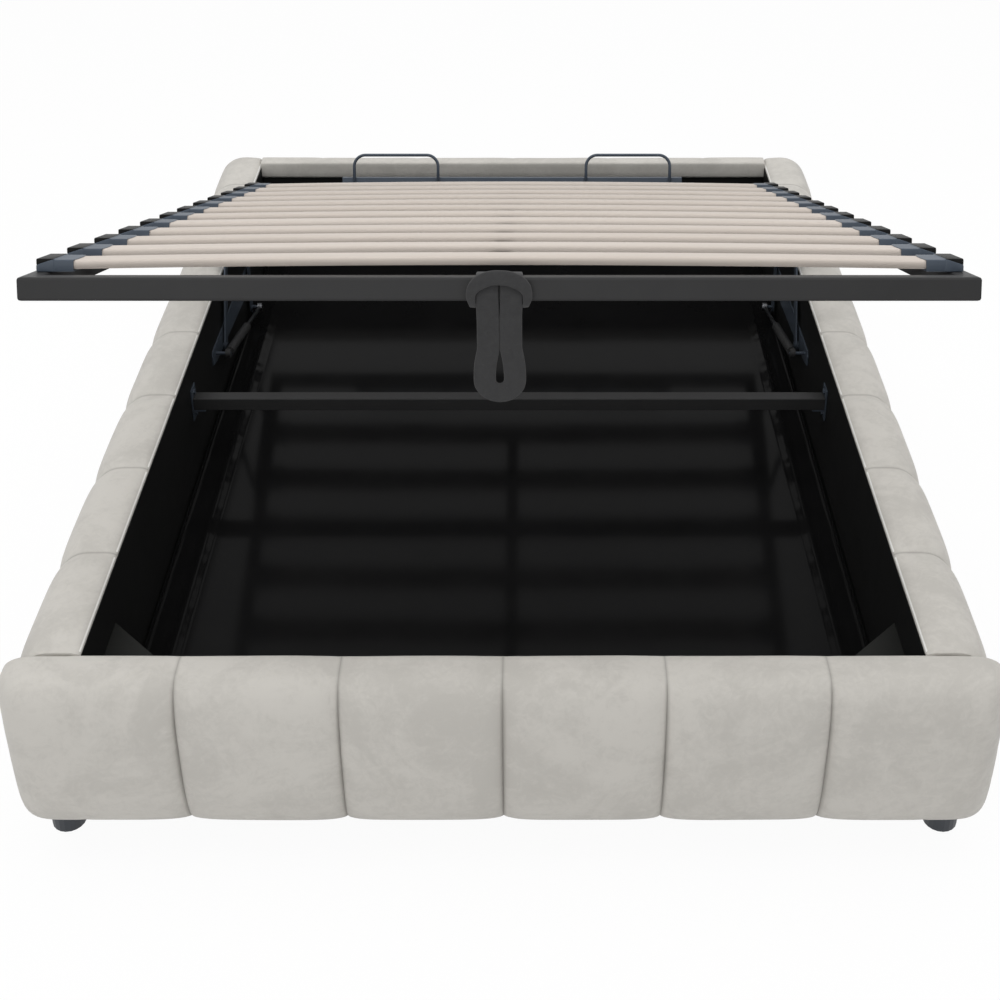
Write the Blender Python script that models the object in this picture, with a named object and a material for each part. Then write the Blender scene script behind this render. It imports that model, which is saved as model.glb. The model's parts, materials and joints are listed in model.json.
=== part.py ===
"""Gas-lift storage bed for a 140 x 200 cm mattress, modelled with its slatted platform raised.

Metres, +Z up, +X to the right as seen from the foot end, +Y towards the head end. The origin is on the
floor, under the middle of the bed. Lengths along the bed are given from the inner face of the foot rail
(WELL_FOOT_Y turns them into world places), and heights of the lift linkage are given from the top of the
rails.
"""

import bpy
import bmesh
from math import atan2, ceil, cos, degrees, pi, radians, sin
from mathutils import Matrix, Vector

# What the bed is built round
MATTRESS_WIDTH = 1.400
MATTRESS_LENGTH = 2.000
MATTRESS_SIDE_PLAY = 0.010
MATTRESS_END_PLAY = 0.010
FIT = 0.0003
OVERRUN = 0.020

# Upholstered rails
RAIL_TOP = 0.390
RAIL_BOTTOM = 0.075
BOARD_THICK = 0.020
BOARD_TOP_DROP = 0.010
BOARD_CHAMFER = 0.0015
SEAM_PITCH = 0.270
FOOT_REACH = 0.115
SIDE_REACH = 0.130
HEAD_REACH = 0.070
PAD_TOP_RISE = 0.008
SEAM_DEPTH = 0.022
HEAD_SEAM_DEPTH = 0.008
SEAM_TOP_DEPTH = 0.008
PAD_SHOULDER = 0.045
PAD_WAIST_DROP = 0.140
PAD_SQUARENESS = 2.7
BAY_FLATNESS = 3
BAY_FULLNESS = 0.7
PAD_CORNER_SQUARENESS = 2.5
PAD_END_EASE = 0.045
FOOT_CORNER_RADIUS = 0.075
FOOT_CORNER_REACH = 0.055
FOOT_CORNER_DROP = 0.028
FOOT_CORNER = (FOOT_CORNER_RADIUS, FOOT_CORNER_REACH, FOOT_CORNER_DROP)
HEAD_CORNER_RADIUS = 0.050
HEAD_CORNER_REACH = 0.092
HEAD_CORNER_DROP = 0.014
HEAD_CORNER = (HEAD_CORNER_RADIUS, HEAD_CORNER_REACH, HEAD_CORNER_DROP)
LINING_THICK = 0.008
LINING_DROP = 0.042
BAY_SHARES = (0.0, 0.06, 0.18, 0.34, 0.5, 0.66, 0.82, 0.94)
SECTION_STEPS = 5

# Corner gussets, cross rail and its wall brackets
GUSSET_LEG = 0.200
GUSSET_THICK = 0.018
GUSSET_DROP = 0.105
CROSS_RAIL_SIZE = 0.030
CROSS_RAIL_WALL = 0.002
CROSS_RAIL_IN = 1.067
CROSS_RAIL_DROP = 0.092
CROSS_PLATE_THICK = 0.003
CROSS_PLATE_WIDTH = 0.040
CROSS_PLATE_EAR = 0.022
CROSS_SHELF_LENGTH = 0.026
BOLT_RADIUS = 0.0065
BOLT_HEAD = 0.004
BOLT_SIDES = 6

# Floor of the storage well
FLOOR_PANEL_THICK = 0.005
FLOOR_JOINT = 0.002
BATTEN_SIZE = 0.0244
BATTEN_END_GAP = 0.030
BEAM_WIDTH = 0.060
LINER_THICK = 0.0015
LINER_EDGE_GAP = 0.008
LINER_LIP = 0.015

# Feet
FOOT_RADIUS = 0.030
FOOT_NECK_RADIUS = 0.0265
FOOT_SOLE = 0.034
FOOT_EDGE = 0.004
FOOT_PLATE = 0.006
FOOT_X_OUT = 0.050
FOOT_Y_OUT = 0.002
FOOT_SIDES = 20
LEG_RADIUS = 0.025
LEG_NECK_RADIUS = 0.0215

# Platform frame, measured along its own length from the outer face of its foot tube
PLATFORM_SIDE_GAP = 0.015
PLATFORM_FOOT_GAP = 0.015
PLATFORM_HEAD_GAP = 0.025
TUBE_WIDTH = 0.030
TUBE_HEIGHT = 0.035
TUBE_WALL = 0.002
TUBE_CORNER = 0.004
TUBE_INNER_CORNER = 0.001
CORNER_STEPS = 2

# Slats and their holders
SLAT_COUNT = 12
FIRST_SLAT_IN = 0.095
LAST_SLAT_IN = 0.180
SLAT_WIDTH = 0.065
SLAT_THICK = 0.0135
SLAT_EDGE = 0.004
SLAT_BOW = 0.006
SLAT_SPANS = 6
SLAT_SINK = 0.030
HOLDER_INSET = 0.010
HOLDER_LENGTH = 0.055
HOLDER_WALL = 0.0025
HOLDER_FLOOR = 0.0030
HOLDER_PLAY = 0.0004
HOLDER_CHAMFER = 0.003
HOLDER_BASE_WIDTH = 0.016
HOLDER_BASE_THICK = 0.002

# Mattress stop at the head end
STOP_LENGTH = 0.910
STOP_DEPTH = 0.026
STOP_HEIGHT = 0.026
STOP_WALL = 0.002
HOOP_END_IN = 0.145
HOOP_WIDTH = 0.232
HOOP_TOP = 0.090
HOOP_WIRE = 0.008
HOOP_CORNER = 0.030
HOOP_CORNER_STEPS = 5
HOOP_FOOT = 0.003

# Lift strap
STRAP_THICK = 0.005
STRAP_PLAY = 0.0005
STRAP_COLLAR_WIDTH = 0.094
STRAP_WIDTH = 0.078
STRAP_LENGTH = 0.176
STRAP_PIVOT_OUT = 0.0065
STRAP_PIVOT_DOWN = 0.030
STRAP_CLOSED_LEAN = 4.7
STRAP_HEAD = 0.004
STRAP_SLOT_WIDTH = 0.012
STRAP_SLOT_HEIGHT = 0.030
STRAP_SLOT_RISE = 0.034
STRAP_ROUND_STEPS = 12

# Platform places: closed on the cross rail, and raised as modelled, by the move of its head end
PLATFORM_SEAT_GAP = 0.0015
PLATFORM_HEAD_FORWARD = 0.167
PLATFORM_HEAD_RISE = 0.022
PLATFORM_TILT = 20.8

# Lift linkage: how far from the well's head end each pivot of the closed bed is, and how far below the rail top
FRONT_PIVOT_IN = 0.420
REAR_PIVOT_IN = 0.170
PIVOT_HANG = 0.0595
FRONT_WALL_DROP = 0.165
REAR_WALL_DROP = 0.184
LEVER_LENGTH = 0.070
STRUT_WALL_IN = 0.805
STRUT_WALL_DROP = 0.137
FLANGE_THICK = 0.003
FLANGE_RIM = 0.022
FLANGE_NOSE = 0.040
ARM_THICK = 0.004
ARM_WIDTH = 0.028
ARM_WALL_SPACE = 0.0042
ARM_SIDE_GAP = 0.0003
PIN_RADIUS = 0.006
PIN_PLAY = 0.0004
PIN_SPACER_RADIUS = 0.010
PIN_HEAD_RADIUS = 0.009
PIN_HEAD = 0.0022
PIN_SIDES = 16
OPEN_PIVOT_GAP = 0.0005
TAB_THICK = 0.004
TAB_INSET = 0.0005
TAB_RIM = 0.016
TAB_END = 0.038
TAB_FLANGE_THICK = 0.003
TAB_FLANGE_WIDTH = 0.0265
STRUT_INSET = 0.032
STRUT_RADIUS = 0.011
STRUT_BODY_LENGTH = 0.250
STRUT_ROD_RADIUS = 0.005
STRUT_EYE_RADIUS = 0.011
STRUT_EYE_HALF = 0.006
STRUT_PIN_RADIUS = 0.004
STRUT_NECK = 0.016
STRUT_BACK_WALL = 0.019
STRUT_BORE_PLAY = 0.001
STRUT_SIDES = 16

WELL_WIDTH = MATTRESS_WIDTH + 2 * MATTRESS_SIDE_PLAY
WELL_LENGTH = MATTRESS_LENGTH + 2 * MATTRESS_END_PLAY
WELL_HALF = WELL_WIDTH / 2
WELL_FOOT_Y = -(WELL_LENGTH + HEAD_REACH - FOOT_REACH) / 2
HEAD_BOARD_Y = WELL_LENGTH + LINING_THICK
BOARD_TOP = RAIL_TOP - BOARD_TOP_DROP
BEAM_TOP = RAIL_BOTTOM - FIT + BATTEN_SIZE
FLOOR_TOP = BEAM_TOP + FIT + FLOOR_PANEL_THICK
PLATFORM_WIDTH = WELL_WIDTH - 2 * PLATFORM_SIDE_GAP
PLATFORM_LENGTH = WELL_LENGTH - PLATFORM_FOOT_GAP - PLATFORM_HEAD_GAP
PLATFORM_CLOSED_DROP = CROSS_RAIL_DROP - TUBE_HEIGHT - PLATFORM_SEAT_GAP
PLATFORM_RAISED_REACH = PLATFORM_LENGTH * cos(radians(PLATFORM_TILT))
PLATFORM_RAISED_Y = WELL_LENGTH - PLATFORM_HEAD_GAP - PLATFORM_HEAD_FORWARD - PLATFORM_RAISED_REACH
PLATFORM_RAISED_RISE = PLATFORM_HEAD_RISE + PLATFORM_LENGTH * sin(radians(PLATFORM_TILT))
CROSS_RAIL_Y = WELL_LENGTH - CROSS_RAIL_IN
HOOP_SPACING = STOP_LENGTH - 2 * HOOP_END_IN
SLAT_PITCH = (PLATFORM_LENGTH - FIRST_SLAT_IN - LAST_SLAT_IN) / (SLAT_COUNT - 1)
FRONT_PIVOT_Y = WELL_LENGTH - FRONT_PIVOT_IN
REAR_PIVOT_Y = WELL_LENGTH - REAR_PIVOT_IN
STRUT_WALL_Y = WELL_LENGTH - STRUT_WALL_IN

MATERIALS = {
    "velvet": ((0.54, 0.52, 0.48), 0.85, 0.0),
    "board": ((0.02, 0.02, 0.021), 0.8, 0.0),
    "gusset": ((0.16, 0.15, 0.13), 0.7, 0.0),
    "black_steel": ((0.041, 0.041, 0.042), 0.45, 0.6),
    "blue_steel": ((0.13, 0.16, 0.2), 0.4, 0.7),
    "chrome_rod": ((0.6, 0.6, 0.62), 0.15, 1.0),
    "slat": ((0.62, 0.55, 0.49), 0.5, 0.0),
    "holder": ((0.09, 0.115, 0.15), 0.5, 0.0),
    "foot_plastic": ((0.045, 0.05, 0.06), 0.5, 0.0),
    "strap": ((0.045, 0.045, 0.046), 0.95, 0.0),
    "liner": ((0.012, 0.012, 0.013), 0.9, 0.0),
}


def clear_scene():
    for thing in list(bpy.data.objects):
        bpy.data.objects.remove(thing, do_unlink=True)


def material(name):
    """The named finish, made the first time it is asked for."""
    found = bpy.data.materials.get(name)
    if found:
        return found
    color, roughness, metallic = MATERIALS[name]
    made = bpy.data.materials.new(name)
    made.use_nodes = True
    shader = made.node_tree.nodes["Principled BSDF"]
    shader.inputs["Base Color"].default_value = (*color, 1.0)
    shader.inputs["Roughness"].default_value = roughness
    shader.inputs["Metallic"].default_value = metallic
    return made


def empty(name, place, turn=(0.0, 0.0, 0.0), parent=None):
    """A named axis or datum that pieces hang from."""
    made = bpy.data.objects.new(name, None)
    bpy.context.scene.collection.objects.link(made)
    made.location = place
    made.rotation_euler = turn
    made.parent = parent
    return made


def piece(name, bm, finish, parent, smooth=False):
    """Turns a bmesh into a named object that rides on its parent."""
    bmesh.ops.recalc_face_normals(bm, faces=bm.faces)
    mesh = bpy.data.meshes.new(name)
    bm.to_mesh(mesh)
    bm.free()
    made = bpy.data.objects.new(name, mesh)
    bpy.context.scene.collection.objects.link(made)
    made.data.materials.append(material(finish))
    made.parent = parent
    if smooth:
        mesh.shade_smooth()
        mesh.set_sharp_from_angle(angle=radians(35))
    return made


def boolean(target, cutter, operation):
    """Cuts or joins with a wire-shown helper object."""
    cutter.hide_render = True
    cutter.display_type = "WIRE"
    step = target.modifiers.new(operation.lower(), "BOOLEAN")
    step.operation = operation
    step.solver = "EXACT"
    step.object = cutter


def box(bm, low, high):
    """Adds a box between two corners."""
    low, high = Vector(low), Vector(high)
    size = high - low
    place = Matrix.Translation((low + high) / 2) @ Matrix.Diagonal((*size, 1.0))
    return bmesh.ops.create_cube(bm, size=1.0, matrix=place)["verts"]


def chamfered_box(low, high, chamfer):
    bm = bmesh.new()
    box(bm, low, high)
    bmesh.ops.bevel(bm, geom=bm.edges[:], offset=chamfer, segments=1, profile=0.5, affect="EDGES")
    return bm


def cylinder_x(bm, x_from, x_to, y, z, radius, sides=PIN_SIDES):
    """Adds a round bar along X, such as a pin."""
    turn = Matrix.Rotation(pi / 2, 4, "Y")
    place = Matrix.Translation(((x_from + x_to) / 2, y, z)) @ turn
    length = abs(x_to - x_from)
    bmesh.ops.create_cone(
        bm, cap_ends=True, segments=sides, radius1=radius, radius2=radius, depth=length, matrix=place
    )


def prism(outline, x_from, x_to):
    """A plate: an outline in (y, z) given a thickness along X."""
    bm = bmesh.new()
    face = bm.faces.new([bm.verts.new((x_from, y, z)) for y, z in outline])
    grown = bmesh.ops.extrude_face_region(bm, geom=[face])
    moved = [v for v in grown["geom"] if isinstance(v, bmesh.types.BMVert)]
    bmesh.ops.translate(bm, verts=moved, vec=(x_to - x_from, 0, 0))
    return bm


def ring_edges(bm, points):
    """A closed loop of edges through the points."""
    verts = [bm.verts.new(point) for point in points]
    return [bm.edges.new(pair) for pair in zip(verts, verts[1:] + verts[:1])]


def loft(rings):
    """A closed body through rings that have the same number of points."""
    bm = bmesh.new()
    loops = [ring_edges(bm, ring) for ring in rings]
    for here, there in zip(loops, loops[1:]):
        bmesh.ops.bridge_loops(bm, edges=here + there)
    for end in (loops[0], loops[-1]):
        bmesh.ops.contextual_create(bm, geom=end)
    return bm


def turned(profile, sides, place):
    """A body turned about Z from (radius, height) points, top and bottom closed."""
    rings = []
    for radius, height in profile:
        ring = []
        for i in range(sides):
            angle = 2 * pi * i / sides
            ring.append((place[0] + radius * cos(angle), place[1] + radius * sin(angle), place[2] + height))
        rings.append(ring)
    return loft(rings)


def stadium(ends, radius, steps=6):
    """Outline of a flat bar with round ends, between two (y, z) points."""
    (ya, za), (yb, zb) = ends
    heading = atan2(zb - za, yb - ya)
    outline = []
    for (y, z), start in (((yb, zb), heading - pi / 2), ((ya, za), heading + pi / 2)):
        for i in range(steps + 1):
            angle = start + pi * i / steps
            outline.append((y + radius * cos(angle), z + radius * sin(angle)))
    return outline


def rounded_rectangle(y_from, y_to, z_from, z_to, radius, steps):
    """Outline with rounded corners, as (y, z) points."""
    outline = []
    corners = (
        (y_to - radius, z_to - radius, 0.0),
        (y_from + radius, z_to - radius, pi / 2),
        (y_from + radius, z_from + radius, pi),
        (y_to - radius, z_from + radius, 3 * pi / 2),
    )
    for y, z, start in corners:
        for i in range(steps + 1):
            angle = start + pi / 2 * i / steps
            outline.append((y + radius * cos(angle), z + radius * sin(angle)))
    return outline


def tube_section(width, height, wall, outer_corner, inner_corner):
    """Outer and inner outline of a square tube whose outer face is at y = 0 and whose top is at z = 0."""
    outer = rounded_rectangle(0, width, -height, 0, outer_corner, CORNER_STEPS)
    inner = rounded_rectangle(wall, width - wall, wall - height, -wall, inner_corner, CORNER_STEPS)
    return outer, inner


def hollow_bar(outer, inner, start, end):
    """A tube between two end functions, each turning a section point (y, z) into a place."""
    bm = bmesh.new()
    rings = [[bm.verts.new(put(*p)) for p in line] for line in (outer, inner) for put in (start, end)]
    outer_start, outer_end, inner_start, inner_end = rings
    around = [outer_start, outer_end, inner_end, inner_start]
    for here, there in zip(around, around[1:] + around[:1]):
        for a, b, c, d in zip(here, here[1:] + here[:1], there[1:] + there[:1], there):
            bm.faces.new((a, b, c, d))
    return bm


# Upholstered rails


def crown_share(s):
    """How full a padded bay is at share s of its width: nothing at its two seams, full in its middle."""
    return (1 - abs(2 * s - 1) ** BAY_FLATNESS) ** BAY_FULLNESS


def bay_stations(low, high, anchor):
    """Places along a rail with their crown share: seams at SEAM_PITCH from the anchor, and both ends."""
    shortest = SEAM_PITCH / 4
    steps = range(ceil((low + shortest - anchor) / SEAM_PITCH), ceil((high - shortest - anchor) / SEAM_PITCH))
    seams = [low] + [anchor + k * SEAM_PITCH for k in steps] + [high]
    stations = []
    for a, b in zip(seams, seams[1:]):
        stations += [(a + (b - a) * share, crown_share(share)) for share in BAY_SHARES]
    stations.append((high, 0.0))
    return stations


def rail_section(reach, crown, seam_depth, drop=0.0):
    """The padding's outline as (outward, height) points, from its inner top edge to its inner bottom edge."""
    out = reach - seam_depth * (1 - crown)
    edge = RAIL_TOP - drop
    top = edge + PAD_TOP_RISE - SEAM_TOP_DEPTH * (1 - crown)
    bottom = RAIL_BOTTOM + drop
    shoulder = min(PAD_SHOULDER, reach / 2)
    waist = RAIL_TOP - PAD_WAIST_DROP
    points = [(FIT, edge - BOARD_TOP_DROP / 2), (FIT + shoulder / 4, (edge + top) / 2)]
    power = 2 / PAD_SQUARENESS
    for i in range(SECTION_STEPS + 1):
        angle = pi / 2 * i / SECTION_STEPS
        along, up = sin(angle) ** power, cos(angle) ** power
        points.append((shoulder + (out - shoulder) * along, waist + (top - waist) * up))
    for i in range(1, SECTION_STEPS + 1):
        angle = pi / 2 * i / SECTION_STEPS
        along, down = cos(angle) ** power, sin(angle) ** power
        points.append((shoulder + (out - shoulder) * along, waist - (waist - bottom) * down))
    points.append((FIT, bottom))
    return points


def corner_reach(reach, distance, radius, end_reach):
    """Reach of the padding near a free end, where it is rounded off in plan."""
    if distance >= radius:
        return reach
    share = 1 - distance / radius
    return end_reach + (reach - end_reach) * (1 - share**PAD_CORNER_SQUARENESS) ** 0.5


def end_drop(distance, deepest):
    """How far the padding's top and underside draw in near a free end."""
    share = max(0.0, 1 - distance / PAD_END_EASE)
    return deepest * (1 - (1 - share**2) ** 0.5)


def pad_rings(low, high, anchor, reach, seam_depth, place, corner, round_low, round_high):
    """Rings of a rail's padding. place turns (along, outward, height) into a point."""
    radius, end_reach, deepest = corner
    rings = []
    for along, crown in bay_stations(low, high, anchor):
        free = [along - low] * round_low + [high - along] * round_high
        here = min([reach] + [corner_reach(reach, d, radius, end_reach) for d in free])
        drop = max([0.0] + [end_drop(d, deepest) for d in free])
        section = rail_section(here, crown, min(seam_depth, here / 4), drop)
        rings.append([place(along, out, height) for out, height in section])
    return rings


def rail_core(name, low, high, parent):
    return piece(name, chamfered_box(low, high, BOARD_CHAMFER), "board", parent)


def side_rails(well):
    """Left and right boards with their padding, butted to the foot rail."""
    core_end = HEAD_BOARD_Y + BOARD_THICK
    pad_end = WELL_LENGTH + HEAD_REACH
    for side, name in ((-1, "left"), (1, "right")):
        inner, outer = side * WELL_HALF, side * (WELL_HALF + BOARD_THICK)
        low = (min(inner, outer), FIT, RAIL_BOTTOM)
        high = (max(inner, outer), core_end, BOARD_TOP)
        rail_core(f"rail_core_{name}", low, high, well)

        def place(along, out, height, side=side):
            return (side * (WELL_HALF + out), along, height)

        rings = pad_rings(FIT, pad_end, 0.0, SIDE_REACH, SEAM_DEPTH, place, HEAD_CORNER, False, True)
        pad = piece(f"rail_pad_{name}", loft(rings), "velvet", well, smooth=True)
        cut = bmesh.new()
        near, far = side * (WELL_HALF - OVERRUN), side * (WELL_HALF + BOARD_THICK + FIT)
        box(
            cut,
            (min(near, far), -OVERRUN, RAIL_BOTTOM - OVERRUN),
            (max(near, far), core_end + FIT, BOARD_TOP + FIT),
        )
        boolean(pad, piece(f"cut_pad_{name}", cut, "board", well), "DIFFERENCE")


def foot_rail(well):
    """Foot board with padding that runs past it on both sides and rounds the corners."""
    core_half = WELL_HALF + BOARD_THICK
    rail_core("rail_core_foot", (-core_half, -BOARD_THICK, RAIL_BOTTOM), (core_half, 0, BOARD_TOP), well)
    pad_half = WELL_HALF + SIDE_REACH - FIT

    def place(along, out, height):
        return (along, -out, height)

    rings = pad_rings(-pad_half, pad_half, 0.0, FOOT_REACH, SEAM_DEPTH, place, FOOT_CORNER, True, True)
    pad = piece("rail_pad_foot", loft(rings), "velvet", well, smooth=True)
    cut = bmesh.new()
    box(
        cut,
        (-core_half - FIT, -BOARD_THICK - FIT, RAIL_BOTTOM - OVERRUN),
        (core_half + FIT, OVERRUN, BOARD_TOP + FIT),
    )
    boolean(pad, piece("cut_pad_foot", cut, "board", well), "DIFFERENCE")


def head_rail(well):
    """Head board between the side boards. Its cover comes over the top and a little way down the inside."""
    half = WELL_HALF - FIT
    board_back = HEAD_BOARD_Y + BOARD_THICK
    rail_core("rail_core_head", (-half, HEAD_BOARD_Y, RAIL_BOTTOM), (half, board_back, BOARD_TOP), well)

    def place(along, out, height):
        return (along, WELL_LENGTH + out, height)

    rings = pad_rings(-half, half, 0.0, HEAD_REACH, HEAD_SEAM_DEPTH, place, HEAD_CORNER, False, False)
    pad = piece("rail_pad_head", loft(rings), "velvet", well, smooth=True)
    cut = bmesh.new()
    box(
        cut,
        (-WELL_HALF - OVERRUN, HEAD_BOARD_Y - FIT, RAIL_BOTTOM - OVERRUN),
        (WELL_HALF + OVERRUN, board_back + FIT, BOARD_TOP + FIT),
    )
    boolean(pad, piece("cut_pad_head", cut, "board", well), "DIFFERENCE")
    below = bmesh.new()
    box(
        below,
        (-WELL_HALF - OVERRUN, WELL_LENGTH - OVERRUN, RAIL_BOTTOM - OVERRUN),
        (WELL_HALF + OVERRUN, HEAD_BOARD_Y, RAIL_TOP - LINING_DROP),
    )
    boolean(pad, piece("cut_lining_head", below, "board", well), "DIFFERENCE")


def gussets(well):
    """Flat triangles that brace the two corners at the foot end."""
    top = RAIL_TOP - GUSSET_DROP
    for side, name in ((-1, "left"), (1, "right")):
        corner = side * (WELL_HALF - FIT)
        inner = side * (WELL_HALF - FIT - GUSSET_LEG)
        bm = bmesh.new()
        outline = ((corner, FIT), (inner, FIT), (corner, FIT + GUSSET_LEG))
        face = bm.faces.new([bm.verts.new((x, y, top)) for x, y in outline])
        grown = bmesh.ops.extrude_face_region(bm, geom=[face])
        moved = [v for v in grown["geom"] if isinstance(v, bmesh.types.BMVert)]
        bmesh.ops.translate(bm, verts=moved, vec=(0, 0, -GUSSET_THICK))
        piece(f"corner_gusset_{name}", bm, "gusset", well)


def cross_rail(well):
    """Steel tube across the well that the closed platform rests on, with a shelf bracket at each wall."""
    half = WELL_HALF - FIT - CROSS_PLATE_THICK - FIT
    outer, inner = tube_section(
        CROSS_RAIL_SIZE, CROSS_RAIL_SIZE, CROSS_RAIL_WALL, TUBE_CORNER / 2, TUBE_INNER_CORNER
    )
    front = CROSS_RAIL_Y - CROSS_RAIL_SIZE / 2
    top = RAIL_TOP - CROSS_RAIL_DROP
    bar = hollow_bar(
        outer,
        inner,
        lambda y, z: (-half, front + y, top + z),
        lambda y, z: (half, front + y, top + z),
    )
    piece("cross_rail", bar, "black_steel", well, smooth=True)
    under = top - CROSS_RAIL_SIZE - FIT
    for side, name in ((-1, "left"), (1, "right")):
        wall = side * (WELL_HALF - FIT)
        face = side * (WELL_HALF - FIT - CROSS_PLATE_THICK)
        shelf = side * (WELL_HALF - FIT - CROSS_PLATE_THICK - CROSS_SHELF_LENGTH)
        y_low, y_high = CROSS_RAIL_Y - CROSS_PLATE_WIDTH / 2, CROSS_RAIL_Y + CROSS_PLATE_WIDTH / 2
        z_low, z_high = under - CROSS_PLATE_THICK - CROSS_PLATE_EAR, top + CROSS_PLATE_EAR
        bm = bmesh.new()
        box(bm, (min(wall, face), y_low, z_low), (max(wall, face), y_high, z_high))
        bracket = piece(f"cross_rail_bracket_{name}", bm, "blue_steel", well)
        extra = bmesh.new()
        deep = side * (WELL_HALF - FIT - CROSS_PLATE_THICK / 2)
        box(
            extra,
            (min(deep, shelf), front, under - CROSS_PLATE_THICK),
            (max(deep, shelf), front + CROSS_RAIL_SIZE, under),
        )
        boolean(bracket, piece(f"join_shelf_{name}", extra, "blue_steel", well), "UNION")
        bolts = bmesh.new()
        for z in (z_low + CROSS_PLATE_EAR / 2, z_high - CROSS_PLATE_EAR / 2):
            cylinder_x(bolts, deep, face - side * BOLT_HEAD, CROSS_RAIL_Y, z, BOLT_RADIUS, BOLT_SIDES)
        boolean(bracket, piece(f"join_bolts_{name}", bolts, "blue_steel", well), "UNION")


def well_floor(well):
    """Two floor panels on side battens and a middle beam, with a fabric liner laid over them."""
    low_z = RAIL_BOTTOM - FIT
    half = WELL_HALF - FIT
    for side, name in ((-1, "left"), (1, "right")):
        outer, inner = side * half, side * (half - BATTEN_SIZE)
        low = (min(outer, inner), BATTEN_END_GAP, low_z)
        high = (max(outer, inner), WELL_LENGTH - BATTEN_END_GAP, BEAM_TOP)
        piece(f"floor_batten_{name}", chamfered_box(low, high, BOARD_CHAMFER), "board", well)
        joint = side * FLOOR_JOINT / 2
        bm = bmesh.new()
        box(
            bm,
            (min(outer, joint), FIT, BEAM_TOP + FIT),
            (max(outer, joint), WELL_LENGTH, FLOOR_TOP),
        )
        piece(f"floor_panel_{name}", bm, "board", well)
    beam = chamfered_box(
        (-BEAM_WIDTH / 2, FIT, low_z), (BEAM_WIDTH / 2, HEAD_BOARD_Y - FIT, BEAM_TOP), BOARD_CHAMFER
    )
    piece("floor_beam", beam, "board", well)
    base = FLOOR_TOP + FIT
    tray_x = WELL_HALF - LINER_EDGE_GAP
    tray_low, tray_high = LINER_EDGE_GAP, WELL_LENGTH - LINER_EDGE_GAP
    bm = bmesh.new()
    box(bm, (-tray_x, tray_low, base), (tray_x, tray_high, base + LINER_LIP))
    top = [f for f in bm.faces if f.normal.z > 0.5]
    bmesh.ops.inset_region(bm, faces=top, thickness=LINER_THICK)
    bmesh.ops.translate(bm, verts=top[0].verts[:], vec=(0, 0, LINER_THICK - LINER_LIP))
    piece("storage_liner", bm, "liner", well)


def feet(well):
    """Four turned feet under the rail corners and a centre leg whose sole is on the origin."""
    height = RAIL_BOTTOM - FIT
    profile = (
        (FOOT_RADIUS - FOOT_EDGE, 0.0),
        (FOOT_RADIUS, FOOT_EDGE),
        (FOOT_RADIUS, FOOT_SOLE),
        (FOOT_NECK_RADIUS, FOOT_SOLE + 2 * FOOT_EDGE),
        (FOOT_NECK_RADIUS, height - 2 * FOOT_PLATE),
        (FOOT_RADIUS, height - FOOT_PLATE),
        (FOOT_RADIUS, height),
    )
    x = WELL_HALF + BOARD_THICK + FOOT_X_OUT
    for side, name in ((-1, "left"), (1, "right")):
        for y, end in ((-FOOT_Y_OUT, "foot"), (HEAD_BOARD_Y + FOOT_Y_OUT, "head")):
            body = turned(profile, FOOT_SIDES, (side * x, y, 0.0))
            piece(f"bed_foot_{end}_{name}", body, "foot_plastic", well, smooth=True)
    leg = (
        (LEG_RADIUS - FOOT_EDGE, 0.0),
        (LEG_RADIUS, FOOT_EDGE),
        (LEG_RADIUS, FOOT_SOLE / 2),
        (LEG_NECK_RADIUS, FOOT_SOLE / 2 + 2 * FOOT_EDGE),
        (LEG_NECK_RADIUS, height - 2 * FOOT_PLATE - FIT),
        (LEG_RADIUS, height - FOOT_PLATE - FIT),
        (LEG_RADIUS, height - FIT),
    )
    body = turned(leg, FOOT_SIDES, (0.0, -WELL_FOOT_Y, 0.0))
    piece("centre_leg", body, "foot_plastic", well, smooth=True)


# Lift linkage


def turn_point(point, centre, angle):
    """Turns a (y, z) point about another, from +Y towards +Z."""
    y, z = point[0] - centre[0], point[1] - centre[1]
    return (centre[0] + y * cos(angle) - z * sin(angle), centre[1] + y * sin(angle) + z * cos(angle))


def lift_pole():
    """The point that the whole closed-to-raised move turns about, in (y, z)."""
    tilt = radians(PLATFORM_TILT)
    closed = (PLATFORM_FOOT_GAP, RAIL_TOP - PLATFORM_CLOSED_DROP)
    raised = (PLATFORM_RAISED_Y, RAIL_TOP + PLATFORM_RAISED_RISE)
    dy, dz = raised[0] - closed[0], raised[1] - closed[1]
    middle = ((closed[0] + raised[0]) / 2, (closed[1] + raised[1]) / 2)
    spread = 2 * sin(tilt / 2) / cos(tilt / 2)
    return (middle[0] + dz / spread, middle[1] - dy / spread)


def wall_pivot(platform_y, wall_drop):
    """The wall pivot as far from a platform pivot closed as raised, with that pivot's two places."""
    pole = lift_pole()
    closed = (platform_y, RAIL_TOP - PLATFORM_CLOSED_DROP - PIVOT_HANG)
    raised = turn_point(closed, pole, -radians(PLATFORM_TILT))
    middle = ((closed[0] + raised[0]) / 2, (closed[1] + raised[1]) / 2)
    wall_z = RAIL_TOP - wall_drop
    share = (wall_z - pole[1]) / (middle[1] - pole[1])
    wall = (pole[0] + (middle[0] - pole[0]) * share, wall_z)
    return wall, closed, raised


def heading(start, end):
    return atan2(end[1] - start[1], end[0] - start[0])


def distance(start, end):
    return ((end[0] - start[0]) ** 2 + (end[1] - start[1]) ** 2) ** 0.5


FRONT_WALL, FRONT_CLOSED, FRONT_RAISED = wall_pivot(FRONT_PIVOT_Y, FRONT_WALL_DROP)
REAR_WALL, REAR_CLOSED, REAR_RAISED = wall_pivot(REAR_PIVOT_Y, REAR_WALL_DROP)
STRUT_WALL = (STRUT_WALL_Y, RAIL_TOP - STRUT_WALL_DROP)
FRONT_ARM_LENGTH = distance(FRONT_WALL, FRONT_CLOSED)
REAR_ARM_LENGTH = distance(REAR_WALL, REAR_CLOSED)


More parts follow.
